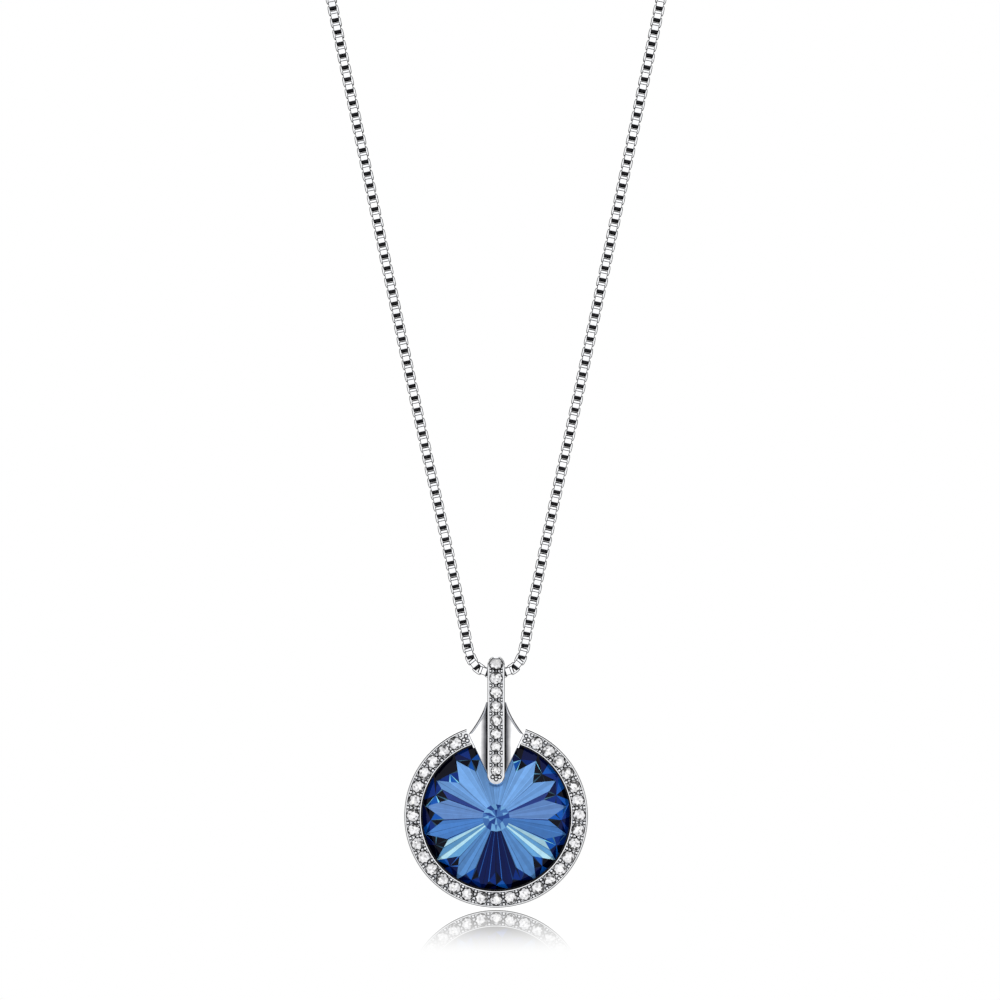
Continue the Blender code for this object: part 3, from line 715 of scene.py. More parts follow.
def petal_colour(k, stripe, rng):
    """The tone of one long facet of petal k, the crystal's blue with painted light and shade: both sides
    of the star match, with small differences.
    """
    count = len(PETAL_STRIPES) - 1
    side = min(k, PETALS - 1 - k)
    lower = stripe if k < PETALS // 2 else count - 1 - stripe
    thin = PETAL_STRIPES[stripe + 1] - PETAL_STRIPES[stripe] < THIN_STRIPE
    gain = rng.choice(THIN_GAINS if thin else WIDE_GAINS)
    if side == 2 and lower >= count - 3:
        return from_screen(VIOLET_STRIPE, gain)
    if side == 4 and lower in (0, count - 1):
        return from_screen(DEEP_BLUE, gain)
    if side == 5 and lower in (1, 4, 5):
        return from_screen(PAINTED_HIGHLIGHT_STRIPE, gain)
    if side == 7:
        return from_screen(MID_BLUE if thin and stripe in (2, 6) else PETAL_COLOURS[7], gain)
    return from_screen(PETAL_COLOURS[side], gain)


def spark_colour(angle, width, rng):
    """The tone of a sliver round the girdle: navy, with thin slivers painted as glints, most of them in
    the upper half, as if lit from above.
    """
    low = abs(math.remainder(angle, math.tau)) > LOW_SPARKS
    if width < THIN_FACET:
        return from_screen(MID_BLUE if low else PAINTED_GLINT_BLUE, rng.choice(PAINTED_GLINT_GAINS))
    return from_screen(rng.choice(GIRDLE_COLOURS))


# The tone of a rosette facet: the crystal's blue with painted light and shade.
def rosette_colour(k, rng):
    return from_screen(ROSETTE_COLOURS[(5 * k + rng.randrange(3)) % len(ROSETTE_COLOURS)])


def petal_corners(bm, k, ring, valleys, tip):
    """The inner and the outer corners of petal k's long facets."""
    n = (k + 1) % PETALS
    inner, outer = [ring[k]], [valleys[k]]
    for u in PETAL_STRIPES[1:-1]:
        inner.append(bm.verts.new(ring[k].co.lerp(ring[n].co, (u + 1) / 2)))
        if u == 0:
            outer.append(tip)
        else:
            valley = valleys[k] if u < 0 else valleys[n]
            outer.append(bm.verts.new(tip.co.lerp(valley.co, abs(u))))
    return inner + [ring[n]], outer + [valleys[n]]


def crystal_mesh():
    """A star of sixteen petals in long facets, slivers to the girdle, and a cut back."""
    rng = random.Random(CRYSTAL_SEED)
    bm = bmesh.new()
    bm.loops.layers.float_color.new("facet_colour_and_painted_light")
    step = math.tau / PETALS
    half = step / 2
    slope = (CRYSTAL_FRONT + PETAL_TIP_DEPTH) / PETAL_TIP_RADIUS
    valley_y = slope * VALLEY_RADIUS * math.cos(half) - CRYSTAL_FRONT
    rosette_y = slope * ROSETTE_RADIUS - CRYSTAL_FRONT
    heart_y = slope * HEART_RADIUS - CRYSTAL_FRONT
    spark_y = (valley_y - GIRDLE_FRONT) * SPARK_LIFT - GIRDLE_FRONT

    def star_ring(radius, turn, depth):
        return [bm.verts.new(star_point(radius, turn + k * step, depth)) for k in range(PETALS)]

    def girdle_ring(depth):
        return [bm.verts.new(polar(CRYSTAL_RADIUS, k * half, depth)) for k in range(2 * PETALS)]

    apex = bm.verts.new((0, -CRYSTAL_FRONT, 0))
    valleys = star_ring(VALLEY_RADIUS, 0, valley_y)
    tips = star_ring(PETAL_TIP_RADIUS, half, PETAL_TIP_DEPTH)
    front, back = girdle_ring(-GIRDLE_FRONT), girdle_ring(GIRDLE_BACK)
    ring = star_ring(ROSETTE_RADIUS, 0, rosette_y)
    heart = [bm.verts.new(polar(HEART_RADIUS, (k + 0.5) * step, heart_y)) for k in range(PETALS)]
    edges = []
    for k in range(PETALS):
        n = (k + 1) % PETALS
        add_facet(bm, (apex, heart[k - 1], heart[k]), rosette_colour(k, rng))
        add_facet(bm, (heart[k - 1], ring[k], heart[k]), rosette_colour(k + 2, rng))
        add_facet(bm, (heart[k], ring[k], ring[n]), rosette_colour(k + 1, rng))
        inner, outer = petal_corners(bm, k, ring, valleys, tips[k])
        for j in range(len(PETAL_STRIPES) - 1):
            corners = (inner[j], inner[j + 1], outer[j + 1], outer[j])
            add_facet(bm, corners, petal_colour(k, j, rng))
        edges.append(outer)
    add_slivers(bm, edges, front, spark_y, rng)
    for i in range(2 * PETALS):
        j = (i + 1) % (2 * PETALS)
        add_facet(bm, (front[i], back[i], back[j], front[j]), from_screen(MID_BLUE))
    add_crystal_back(bm, back, rng)
    return facet_mesh("crystal_cut", bm)


def add_slivers(bm, edges, rim, depth, rng):
    """Fans of slivers in the valleys between the petals, out to the girdle."""
    step = math.tau / PETALS
    middle = PETAL_STRIPES.index(0.0)
    for k in range(PETALS):
        spark = bm.verts.new(star_point(SPARK_RADIUS, k * step, depth))
        loop = edges[k - 1][middle:] + edges[k][1 : middle + 1]
        loop += [rim[2 * k + 1], rim[2 * k], rim[2 * k - 1]]
        for j, corner in enumerate(loop):
            following = loop[(j + 1) % len(loop)]
            width = (following.co - corner.co).length
            add_facet(bm, (spark, corner, following), spark_colour(k * step, width, rng))


def add_crystal_back(bm, rim, rng):
    """The back of the crystal: sixteen kites to the culet, and halves up to the girdle."""
    step = math.tau / PETALS
    slope = (CRYSTAL_BACK - GIRDLE_BACK) / CRYSTAL_RADIUS
    back_y = CRYSTAL_BACK - slope * BACK_VALLEY_RADIUS * math.cos(step / 2)
    culet = bm.verts.new((0, CRYSTAL_BACK, 0))
    valleys = [bm.verts.new(polar(BACK_VALLEY_RADIUS, k * step, back_y)) for k in range(PETALS)]
    for k in range(PETALS):
        left, right = valleys[k], valleys[(k + 1) % PETALS]
        first, middle, last = rim[2 * k], rim[2 * k + 1], rim[(2 * k + 2) % len(rim)]
        for corners in ((culet, right, middle, left), (left, middle, first), (right, last, middle)):
            add_facet(bm, corners, from_screen(rng.choice(BACK_BLUES)))


def build_crystal():
    painted_facets = cut_stone("blue_crystal_facets", 0.3, 1.6, 0.07)
    crystal = show("crystal_cut", crystal_mesh(), [painted_facets], PENDANT)
    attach(crystal, "pendant")
    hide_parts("crystal")


# Each facet of a clear stone gets a light or dark grey of painted light and shade.
def painted_facet_grey(rng, choices):
    value = rng.choice(choices) * rng.uniform(0.92, 1.05)
    return (value, value, min(1.0, value * 1.02))


def brilliant_mesh(name, diameter, seed):
    """A round brilliant: table, stars, kites, girdle facets, and a pavilion of mains and halves, each
    facet a light or dark grey of painted light and shade.
    """
    rng = random.Random(seed)
    radius = diameter / 2
    bm = bmesh.new()
    bm.loops.layers.float_color.new("facet_colour_and_painted_light")

    def ring(share, depth, count=8, turn=0.0):
        step = math.tau / count
        places = [polar(share * radius, (k + turn) * step, depth * radius) for k in range(count)]
        return [bm.verts.new(place) for place in places]

    def facet(corners, choices):
        add_facet(bm, corners, painted_facet_grey(rng, choices))

    heart = bm.verts.new((0, CUT_TABLE[1] * radius, 0))
    table = ring(*CUT_TABLE)
    kite = ring(*CUT_KITE, turn=0.5)
    rim = ring(1.0, -CUT_GIRDLE, 16)
    low = ring(1.0, CUT_GIRDLE, 16)
    belly = ring(*CUT_BELLY)
    point = bm.verts.new((0, CUT_POINT * radius, 0))
    for k in range(8):
        n = (k + 1) % 8
        far = (2 * k + 2) % 16
        facet((heart, table[k], table[n]), (1.0, 0.95, 0.80, 0.95, 0.55))
        facet((table[k], table[n], kite[k]), (0.98, 0.22, 0.70, 0.90))
        facet((table[n], kite[k], rim[far], kite[n]), (0.95, 0.75, 0.90, 0.12))
        facet((kite[k], rim[2 * k], rim[2 * k + 1]), (0.80, 0.35, 0.05))
        facet((kite[k], rim[2 * k + 1], rim[far]), (0.85, 0.20, 0.06))
        facet((point, belly[k], low[2 * k + 1], belly[n]), (0.6, 0.3))
        facet((belly[k], low[2 * k], low[2 * k + 1]), (0.5, 0.2))
        facet((belly[n], low[2 * k + 1], low[far]), (0.5, 0.2))
    for k in range(16):
        n = (k + 1) % 16
        facet((rim[k], low[k], low[n], rim[n]), (0.3, 0.15))
    return facet_mesh(name, bm)


def set_stone(name, cad_name, diameter, rotation, spot, painted_facets, seed):
    mesh = brilliant_mesh(name, diameter, seed)
    mesh.transform(rotation.to_4x4())
    stone = show(name, mesh, [painted_facets], PENDANT + spot)
    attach(stone, "pendant")
    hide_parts(cad_name)


def halo_stone_angles():
    middle = (HALO_STONE_COUNT - 1) / 2
    return [math.pi + (i - middle) * HALO_STONE_PITCH for i in range(HALO_STONE_COUNT)]


def build_halo_stones(painted_facets):
    for i, angle in enumerate(halo_stone_angles()):
        spot = polar(HALO_STONE_CIRCLE, angle, -HALO_FACE - STONE_PROUD)
        turn = Matrix.Rotation(angle, 3, "Y")
        name = f"halo_brilliant_{i + 1:02d}"
        set_stone(name, f"halo_stone_{i + 1:02d}", HALO_STONE_DIAMETER, turn, spot, painted_facets, HALO_SEED + i)


def bail_stone_places():
    """Each bail stone's place along the blade and its pitch to the next one."""
    s = BAIL_STONE_START
    places = []
    for i in range(BAIL_STONE_COUNT):
        share = i / (BAIL_STONE_COUNT - 2)
        pitch = BAIL_PITCH_TOP + (BAIL_PITCH_BOTTOM - BAIL_PITCH_TOP) * share
        places.append((s, pitch))
        s += pitch
    return places


def build_bail_stones(painted_facets):
    for i, (s, pitch) in enumerate(bail_stone_places()):
        y, z = below_surface(s, -STONE_PROUD)
        turn = Matrix.Rotation(-blade_frame(s)[2], 3, "X")
        name = f"bail_brilliant_{i + 1}"
        spot = Vector((0, y, z))
        set_stone(name, f"bail_stone_{i + 1}", pitch - BAIL_STONE_GAP, turn, spot, painted_facets, BAIL_SEED + i)


# ---- halo


def halo_profile():
    """(radius, depth, slot) of the ring's section: slot 1 is painted shade on bevels and walls, slot 2
    the bead-set floor.
    """
    face = -HALO_FACE
    lip, outer = HALO_LIP_RADIUS, HALO_RADIUS
    floor_in = lip + HALO_INNER_RIM
    floor_out = outer - HALO_OUTER_RIM
    soft = HALO_SOFT
    return [
        (lip, face + 3 * soft, 1),
        (lip + LIP_SHADOW, face + 0.2 * soft, 0),
        (lip + LIP_SHADOW + soft / 2, face, 0),
        (floor_in - soft, face, 1),
        (floor_in, face + FLOOR_DEPTH, 2),
        (floor_out, face + FLOOR_DEPTH, 1),
        (floor_out + soft, face, 0),
        (outer - 2 * soft, face, 0),
        (outer, face + 2 * soft, 0),
        (outer, HALO_BACK - 4 * soft, 0),
        (outer - 4 * soft, HALO_BACK, 0),
        (SEAT_RADIUS + soft, HALO_BACK, 0),
        (SEAT_RADIUS, HALO_BACK - soft, 0),
        (SEAT_RADIUS, -HALO_LIP_DEPTH, 0),
        (lip, -HALO_LIP_DEPTH, 1),
    ]


def build_halo(silver, dark, floor):
    profile = halo_profile()
    slots = [slot for _, _, slot in profile]
    bm = bmesh.new()
    rows = []
    span = math.tau - 2 * HALO_OPEN_ANGLE
    for i in range(HALO_STEPS + 1):
        angle = HALO_OPEN_ANGLE + span * i / HALO_STEPS
        rows.append([bm.verts.new(polar(r, angle, y)) for r, y, _ in profile])
    bridge_rows(bm, rows, slots=slots)
    angles = halo_stone_angles()
    out = Vector((0, -1, 0))
    for angle in angles:
        seat = polar(HALO_STONE_CIRCLE, angle, -HALO_FACE + FLOOR_DEPTH)
        add_peg(bm, seat, out, HALO_STONE_DIAMETER / 2 + SEAT_SHADE_WIDTH, SEAT_RISE)
    for angle in [angles[0] - HALO_STONE_PITCH, *angles]:
        add_halo_gap(bm, angle + HALO_STONE_PITCH / 2)
    for side in (-1, 1):
        for radius, turn in HALO_END_BEADS:
            angle = side * (HALO_OPEN_ANGLE + turn)
            spot = polar(radius, angle, -HALO_FACE + FLOOR_DEPTH)
            add_peg(bm, spot, out, BEAD_RADIUS * SHADE_DISC_SHARE, SHADE_DISC_RISE)
            add_dome(bm, spot, out, BEAD_RADIUS)
    halo = show("halo_setting", finish_mesh("halo_setting", bm, 35), [silver, dark, floor], PENDANT)
    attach(halo, "pendant")
    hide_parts("halo_ring")


def add_halo_gap(bm, angle):
    """The metal between two halo stones: two beads, each on a disc of painted shade, and a drill mark
    painted as a dark dot of shade.
    """
    out = Vector((0, -1, 0))
    floor = -HALO_FACE + FLOOR_DEPTH
    inner = HALO_LIP_RADIUS + HALO_INNER_RIM + HALO_BEAD_INSET
    outer = HALO_RADIUS - HALO_OUTER_RIM - HALO_BEAD_INSET
    for radius in (inner, outer):
        add_peg(bm, polar(radius, angle, floor), out, BEAD_RADIUS * SHADE_DISC_SHARE, SHADE_DISC_RISE)
        add_dome(bm, polar(radius, angle, floor - SHADE_DISC_RISE), out, BEAD_RADIUS)
    add_peg(bm, polar(HALO_STONE_CIRCLE, angle, floor), out, *HALO_DRILL)


# ---- bail and leaf


def blade_frame(s):
    """Depth, height and surface angle of the bail's front, s along it from beside the chain."""
    if s < 0:
        angle = -s / LOOP_RADIUS
        depth = BAIL_AXIS_Y - LOOP_RADIUS * math.cos(angle)
        return depth, BAIL_AXIS_HEIGHT + LOOP_RADIUS * math.sin(angle), angle
    angle = s / BLADE_BEND_RADIUS
    depth = BAIL_AXIS_Y - LOOP_RADIUS - BLADE_BEND_RADIUS * (1 - math.cos(angle))
    return depth, BAIL_AXIS_HEIGHT - BLADE_BEND_RADIUS * math.sin(angle), angle


def below_surface(s, depth):
    """The (y, z) of a point under the bail's front, depth along the inward normal."""
    y, z, angle = blade_frame(s)
    return y + depth * math.cos(angle), z - depth * math.sin(angle)


def blade_back_at(height):
    angle = math.asin(max(0.0, BAIL_AXIS_HEIGHT - height) / BLADE_BEND_RADIUS)
    front = BAIL_AXIS_Y - LOOP_RADIUS - BLADE_BEND_RADIUS * (1 - math.cos(angle))
    return front + BLADE_THICKNESS / math.cos(angle)


def loop_half_width(height):
    """The band narrows over the top of the loop, which rounds its corners off."""
    above = height - BAIL_AXIS_HEIGHT - LOOP_SHOULDER
    if above <= 0:
        return BLADE_HALF_WIDTH
    share = above / (LOOP_RADIUS - LOOP_SHOULDER)
    return BLADE_HALF_WIDTH * max(LOOP_CREST, math.sqrt(max(0.0, 1 - share * share)))


def channel_section(half_width, thickness):
    """(x, depth) round the bail's section and the slot of each side, with a floor between rims whose
    inner walls are painted shade.
    """
    rim = BLADE_RIM * half_width / BLADE_HALF_WIDTH
    inner = half_width - rim
    soft = BLADE_SOFT * half_width / BLADE_HALF_WIDTH
    side = [
        (inner - BLADE_RIM_SLOPE, FLOOR_DEPTH, 1),
        (inner, 0.0, 0),
        (half_width - soft, 0.0, 0),
        (half_width, soft, 0),
        (half_width, thickness - soft, 0),
        (half_width - soft, thickness, 0),
    ]
    left = [(-x, d, 0) for x, d, _ in reversed(side)]
    slots = [s for _, _, s in side] + [0] * (len(left) - 2) + [1, 2]
    return side + left, slots


def bail_stations():
    """Places along the bail's band from the crest of its loop to its tip: (s, half width, wall)."""
    top = -LOOP_RADIUS * math.pi / 2
    loop_wall = LOOP_RADIUS - LOOP_BORE
    straight = BLADE_LENGTH - BLADE_HALF_WIDTH
    stations = []
    for i in range(CREST_STEPS):
        s = top * (1 - i / CREST_STEPS)
        stations.append((s, loop_half_width(blade_frame(s)[1]), loop_wall))
    for i in range(BLADE_STEPS + 1):
        s = straight * i / BLADE_STEPS
        wall = loop_wall + (BLADE_THICKNESS - loop_wall) * min(1.0, s / BLADE_TAPER)
        stations.append((s, BLADE_HALF_WIDTH, wall))
    for i in range(1, TIP_STEPS + 1):
        angle = TIP_TURN * i
        s = straight + BLADE_HALF_WIDTH * math.sin(angle)
        stations.append((s, BLADE_HALF_WIDTH * math.cos(angle), BLADE_THICKNESS))
    return stations


def build_bail(silver, dark, floor):
    bm = bmesh.new()
    rows = []
    for s, half_width, wall in bail_stations():
        points, slots = channel_section(half_width, wall)
        rows.append([bm.verts.new((x, *below_surface(s, depth))) for x, depth, _ in points])
    bridge_rows(bm, rows, slots)
    add_bail_leg(bm)
    places = bail_stone_places()
    for s, pitch in places:
        add_on_blade(bm, add_peg, 0.0, s, (pitch - BAIL_STONE_GAP) / 2 + SEAT_SHADE_WIDTH, SEAT_RISE)
    stops = [s + pitch / 2 for s, pitch in places]
    for s in stops[:-1]:
        add_blade_gap(bm, s)
    for x, along in TIP_PRONGS:
        s = stops[-1] + along
        add_on_blade(bm, add_peg, x, s, BEAD_RADIUS * TIP_SHADE_DISC_SHARE, SHADE_DISC_RISE)
        add_on_blade(bm, add_dome, x, s, BEAD_RADIUS)
    bail = show("bail_setting", finish_mesh("bail_setting", bm, 35), [silver, dark, floor], PENDANT)
    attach(bail, "pendant")
    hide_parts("bail")


def add_on_blade(bm, add, x, s, *size):
    """Puts a bead or peg on the floor of the bail, x across and s along it."""
    angle = blade_frame(s)[2]
    out = Vector((0, -math.cos(angle), math.sin(angle)))
    add(bm, Vector((x, *below_surface(s, FLOOR_DEPTH))), out, *size)


def add_blade_gap(bm, s):
    """The metal between two stones of the bail: a bead beside each rim on a disc of painted shade, and
    two drill marks painted as dark dots of shade.
    """
    reach = BLADE_HALF_WIDTH - BLADE_RIM - BLADE_BEAD_INSET
    for side in (-1, 1):
        add_on_blade(bm, add_peg, side * reach, s, BEAD_RADIUS * BLADE_SHADE_DISC_SHARE, SHADE_DISC_RISE)
        add_on_blade(bm, add_dome, side * reach, s, BEAD_RADIUS * BLADE_BEAD_SHARE)
        add_on_blade(bm, add_peg, side * BLADE_BEAD_INSET, s, *BLADE_DRILL)


def add_bail_leg(bm):
    """The back of the loop: over the bore, down behind it and round to the blade's rear face."""
    axis_y, axis_z = BAIL_AXIS_Y, BAIL_AXIS_HEIGHT
    start = axis_y - LEG_START
    outer = [(start, axis_z + LOOP_RADIUS - GAP)]
    inner = [(start, axis_z + LOOP_BORE + GAP)]
    for i in range(LEG_BENDS + 1):
        angle = math.pi / 2 * i / LEG_BENDS
        y, z = math.sin(angle), math.cos(angle)
        outer.append((axis_y + LOOP_BACK_RADIUS * y, axis_z + LOOP_RADIUS * z))
        inner.append((axis_y + LOOP_BORE * y, axis_z + LOOP_BORE * z))
    foot = axis_z - LEG_DROP
    blade = blade_back_at(foot) - LEG_LAP
    outer.append((axis_y + LOOP_BACK_RADIUS, foot + LEG_THICKNESS))
    outer.append((axis_y + LOOP_BORE, foot))
    outer.append((blade, foot - LEG_THICKNESS))
    inner.append((axis_y + LOOP_BORE, foot + LEG_ELBOW))
    inner.append((axis_y, foot + LEG_THICKNESS))
    inner.append((blade, foot + LEG_THICKNESS))
    outline = outer + list(reversed(inner))
    count = len(outline)
    rows = []
    for share, shrink in ((-1.0, LEG_SOFT), (-0.9, 0.0), (0.9, 0.0), (1.0, LEG_SOFT)):
        row = []
        for i, (y, z) in enumerate(outline):
            before, after = outline[i - 1], outline[(i + 1) % count]
            along = Vector((after[0] - before[0], after[1] - before[1])).normalized()
            x = share * loop_half_width(z)
            row.append(bm.verts.new((x, y - along.y * shrink, z + along.x * shrink)))
        rows.append(row)
    bridge_rows(bm, rows)


def leaf_half_width(height):
    if height >= LEAF_CORNER_HEIGHT:
        rise = LEAF_FLARE_TOP - LEAF_CORNER_HEIGHT
        share = (LEAF_FLARE_TOP - height) / rise
        spread = LEAF_CORNER_HALF_WIDTH - BLADE_HALF_WIDTH
        return BLADE_HALF_WIDTH + spread * share**LEAF_FLARE_POWER
    share = (height - LEAF_BOTTOM) / (LEAF_CORNER_HEIGHT - LEAF_BOTTOM)
    return LEAF_BOTTOM_HALF_WIDTH + (LEAF_CORNER_HALF_WIDTH - LEAF_BOTTOM_HALF_WIDTH) * share


def leaf_front(u, base):
    """Depth of the leaf's face, u out from the blade's side: a cove that runs into a flat wing."""
    return base + COVE_LEVEL + COVE_HEIGHT * math.exp(-u / COVE_FADE)


def leaf_silver_painted_cove_shade():
    """Bright wings, darkened into the cove beside the bail's band by painted shade."""
    silver = Shader("leaf_silver_painted_cove_shade")
    distance = silver.maths("ABSOLUTE", silver.split(silver.place)["X"])
    clouds = silver.spread(silver.noise(0.9, 4.0), -COVE_SHADE_WANDER, COVE_SHADE_WANDER)
    shifted = silver.maths("ADD", distance, clouds)
    near = silver.spread(shifted, 0.0, 1.0, BLADE_HALF_WIDTH, BLADE_HALF_WIDTH + COVE_SHADE_WIDTH)
    share = silver.maths("POWER", near, COVE_SHADE_POWER)
    colour = silver.blend(share, (0.05, 0.05, 0.06), (0.90, 0.905, 0.92))
    silver.set(Metallic=1.0, Base_Color=colour)
    silver.polish(0.06, 0.14)
    return silver.material


def leaf_row(bm, height):
    half = leaf_half_width(height)
    base = blade_back_at(height) + GAP
    wing = half - BLADE_HALF_WIDTH
    flare = height > LEAF_CORNER_HEIGHT
    rim = min(LEAF_RIM if flare else LEAF_SIDE_RIM, wing * 0.6)
    raised = LEAF_RIM_RISE if flare else 0.0
    marks = [t / LEAF_MARKS * (wing - rim) for t in range(LEAF_MARKS + 1)]
    right = [(BLADE_HALF_WIDTH + u, leaf_front(u, base)) for u in marks]
    crest = right[-1][1] - raised
    right.append((half - 0.9 * rim, crest))
    right.append((half - 0.35 * rim, crest))
    right.append((half, crest + 0.6 * rim))
    front = [(-x, y) for x, y in reversed(right)] + right
    share = min(1.0, (height - LEAF_BOTTOM) / (LEAF_CORNER_HEIGHT - LEAF_BOTTOM))
    back = base + LEAF_EDGE + LEAF_EDGE_GAIN * share
    edge = [(half, back), (-half, back)]
    return [bm.verts.new((x, y, height)) for x, y in front + edge]


def leaf_slots():
    """Material slots across a row: the raised rims are grey with a dark outer edge, both painted shade.
    """
    side = [1, 2, 1] + [0] * LEAF_MARKS
    return side + [0] + list(reversed(side)) + [0, 0, 0]


def build_leaf(silver, grey, dark):
    heights = [LEAF_TOP + (LEAF_CORNER_HEIGHT - LEAF_TOP) * i / 24 for i in range(25)]
    heights += [LEAF_CORNER_HEIGHT + (LEAF_BOTTOM - LEAF_CORNER_HEIGHT) * i / 16 for i in range(1, 17)]
    bm = bmesh.new()
    bridge_rows(bm, [leaf_row(bm, height) for height in heights], slots=leaf_slots())
    add_leaf_block(bm)
    materials = [leaf_silver_painted_cove_shade(), dark, grey, silver]
    leaf = show("leaf_wings", finish_mesh("leaf_wings", bm, 40), materials, PENDANT)
    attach(leaf, "pendant")
    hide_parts("leaf_plate")


def add_leaf_block(bm):
    """The solid back of the leaf between the halo's ends, hollowed round the crystal's seat."""
    made_before = len(bm.faces)
    rows = []
    for i in range(17):
        t = i / 16
        height = LEAF_TOP - GAP + (LEAF_BLOCK_END - LEAF_TOP) * t
        if height >= LEAF_CORNER_HEIGHT:
            half = leaf_half_width(height) - GAP
        else:
            half = height * math.tan(LEAF_BLOCK_ANGLE)
        front = blade_back_at(height) + LEAF_BLOCK_LAP
        back = LEAF_BLOCK_BACK
        if height < SEAT_RADIUS + HALO_SOFT:
            back = SEAT_FRONT
        corners = [(-half, front), (half, front), (half, back), (-half, back)]
        rows.append([bm.verts.new((x, y, height)) for x, y in corners])
    bridge_rows(bm, rows)
    bm.faces.ensure_lookup_table()
    for face in bm.faces[made_before:]:
        face.material_index = 3


# ---- CAD nodes that stay


def dress_nodes(silver, findings, steel):
    """Gives the CAD pieces that keep their shape their finished materials."""
    wear = {
        "crystal_cup": silver,
        "clasp_ring": findings,
        "chain_end_ring": findings,
        "clasp_body": findings,
        "clasp_lever": findings,
        "clasp_pin": steel,
    }
    for name, material in wear.items():
        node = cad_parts[name]
        node.data.materials.clear()
        node.data.materials.append(material)
    for name, width in SOFT_EDGES.items():
        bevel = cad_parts[name].modifiers.new("soft_edges", "BEVEL")
        bevel.width = width
        bevel.segments = 3
        bevel.limit_method = "ANGLE"
        bevel.angle_limit = math.radians(50)


# ---- stage, light, camera


def floor_material():
    """Plain white that mirrors the pendant, less and less in front of it and to its sides."""
    material = bpy.data.materials.new("white_floor")
    material.use_nodes = True
    nodes = Nodes(material.node_tree)
    nodes.tree.nodes.clear()
    place = nodes.split(nodes.node("ShaderNodeNewGeometry").outputs["Position"])
    middle = PENDANT.y
    back = middle + MIRROR_BACK

    def fade(source, start, end, first, last):
        return nodes.spread(source, first, last, start, end, interpolation_type="SMOOTHSTEP")

    ahead = fade(place["Y"], middle - MIRROR_END, middle, 0.0, MIRROR_STRENGTH)
    across = fade(nodes.maths("ABSOLUTE", place["X"]), HALO_RADIUS, HALO_RADIUS + MIRROR_SIDE, 1.0, 0.0)
    behind = fade(place["Y"], back, back + MIRROR_BACK, 1.0, 0.0)
    share = nodes.maths("MULTIPLY", ahead, nodes.maths("MULTIPLY", across, behind))
    white = nodes.node("ShaderNodeEmission")
    nodes.feed(WHITE, white.inputs["Color"])
    mirror = nodes.node("ShaderNodeBsdfGlossy")
    mirror.inputs["Roughness"].default_value = 0.0
    nodes.feed(WHITE, mirror.inputs["Color"])
    output = nodes.node("ShaderNodeOutputMaterial")
    nodes.link(nodes.mix_shaders(share, white.outputs[0], mirror.outputs[0]), output.inputs["Surface"])
    return material


def build_floor():
    floor_z = PENDANT.z - HALO_RADIUS - FLOOR_GAP
    bm = bmesh.new()
    size = FLOOR_HALF_SIZE
    corners = [(-size, -size), (size, -size), (size, size), (-size, size)]
    bm.faces.new([bm.verts.new((x, y, 0)) for x, y in corners])
    mesh = bpy.data.meshes.new("floor")
    bm.to_mesh(mesh)
    bm.free()
    floor = show("floor", mesh, [floor_material()], (0, 0, floor_z))
    for ray in ("glossy", "diffuse", "transmission", "shadow"):
        setattr(floor, "visible_" + ray, False)


def value_ramp(nodes, source, stops):
    """Grey levels along one axis of the world, from stops of (place, level)."""
    share = nodes.spread(source, 0.0, 1.0, -1.0, 1.0)
    ramp = nodes.node("ShaderNodeValToRGB")
    nodes.link(share, ramp.inputs[0])
    elements = ramp.color_ramp.elements
    elements[0].position = stops[0][0]
    elements[1].position = stops[-1][0]
    for place, _ in stops[1:-1]:
        elements.new(place)
    for element, (_, value) in zip(elements, stops):
        element.color = (value, value, value, 1.0)
    return ramp.outputs[0]


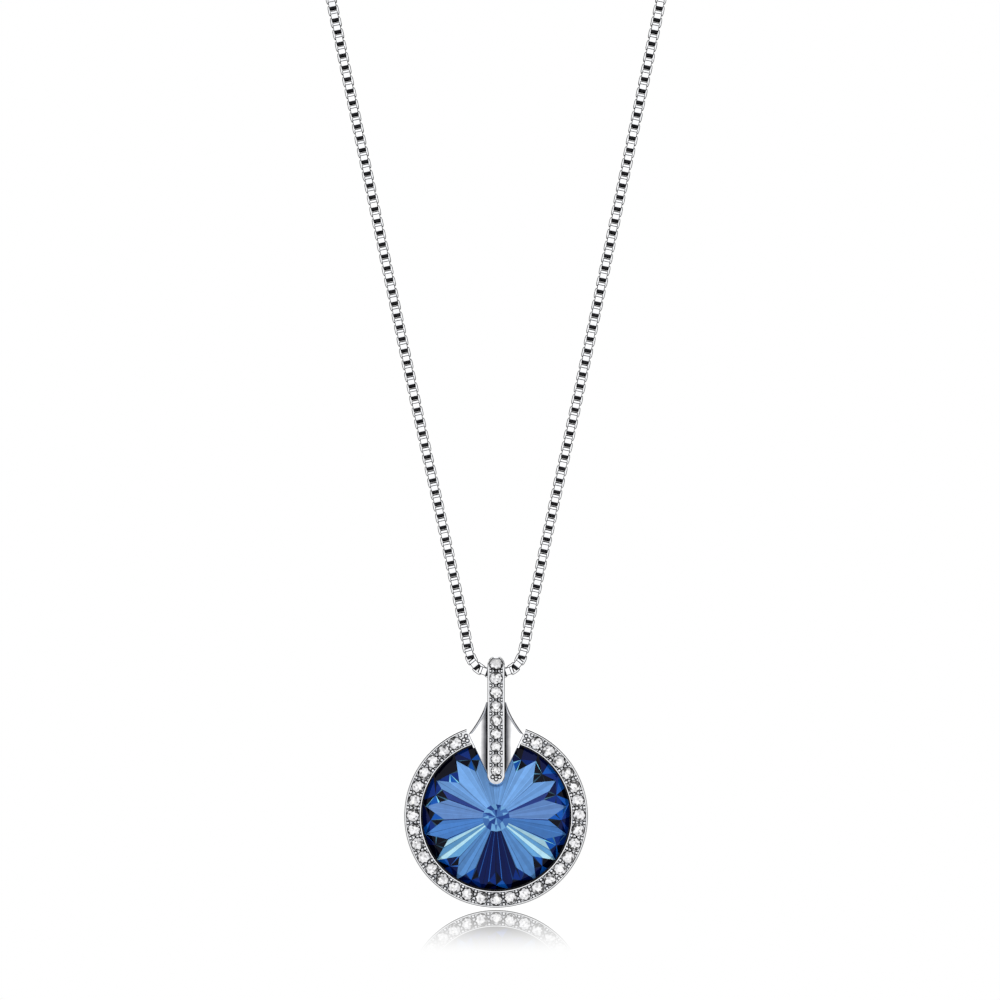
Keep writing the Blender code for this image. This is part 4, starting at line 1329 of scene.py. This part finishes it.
def build_world():
    """A white tent, darker at its sides and overhead; a camera sees plain white."""
    world = bpy.data.worlds.new("studio")
    bpy.context.scene.world = world
    world.use_nodes = True
    nodes = Nodes(world.node_tree)
    nodes.tree.nodes.clear()
    place = nodes.split(nodes.node("ShaderNodeTexCoord").outputs["Generated"])
    front_back = value_ramp(nodes, place["Y"], FRONT_TO_BACK)
    up_down = value_ramp(nodes, place["Z"], DOWN_TO_UP)
    tent = nodes.node("ShaderNodeBackground")
    nodes.feed(nodes.blend(1.0, front_back, up_down, blend_type="MULTIPLY"), tent.inputs["Color"])
    tent.inputs["Strength"].default_value = TENT_STRENGTH
    plain = nodes.node("ShaderNodeBackground")
    nodes.feed(WHITE, plain.inputs["Color"])
    camera_ray = nodes.node("ShaderNodeLightPath").outputs["Is Camera Ray"]
    output = nodes.node("ShaderNodeOutputWorld")
    nodes.link(nodes.mix_shaders(camera_ray, tent.outputs[0], plain.outputs[0]), output.inputs["Surface"])


def build_camera():
    data = bpy.data.cameras.new("camera")
    data.lens = LENS
    data.sensor_width = SENSOR
    data.clip_start = 0.01
    data.clip_end = 50.0
    camera = bpy.data.objects.new("camera", data)
    bpy.context.scene.collection.objects.link(camera)
    distance = VIEW_WIDTH * LENS / SENSOR
    camera.location = (AIM_X, PENDANT.y - distance, PENDANT.z + AIM_ABOVE_CRYSTAL)
    camera.rotation_euler = (math.pi / 2, 0, 0)
    bpy.context.scene.camera = camera


def set_view():
    scene = bpy.context.scene
    scene.view_settings.view_transform = "Standard"
    scene.cycles.max_bounces = 16
    scene.cycles.glossy_bounces = 8
    scene.cycles.transmission_bounces = 16


def main():
    silver = polished_silver("polished_silver")
    chain_silver = polished_silver("chain_silver")
    findings = polished_silver("findings_silver", (0.74, 0.745, 0.76), (0.56, 0.57, 0.59), 0.14)
    dark = painted_shade_silver("painted_shade_silver")
    grey = polished_silver("shaded_silver", (0.46, 0.47, 0.50), (0.28, 0.29, 0.32), 0.12)
    floor = polished_silver("bead_set_floor", (0.74, 0.75, 0.77), (0.42, 0.43, 0.46), 0.2)
    steel = spring_steel("spring_steel")
    stones = cut_stone("clear_stone_facets", 0.2, 5.0, 0.10)
    build_chain(chain_silver, dark)
    build_spring(steel)
    build_crystal()
    build_halo(silver, dark, floor)
    build_halo_stones(stones)
    build_bail(silver, dark, floor)
    build_bail_stones(stones)
    build_leaf(silver, grey, dark)
    dress_nodes(silver, findings, steel)
    build_floor()
    build_world()
    build_camera()
    set_view()


main()
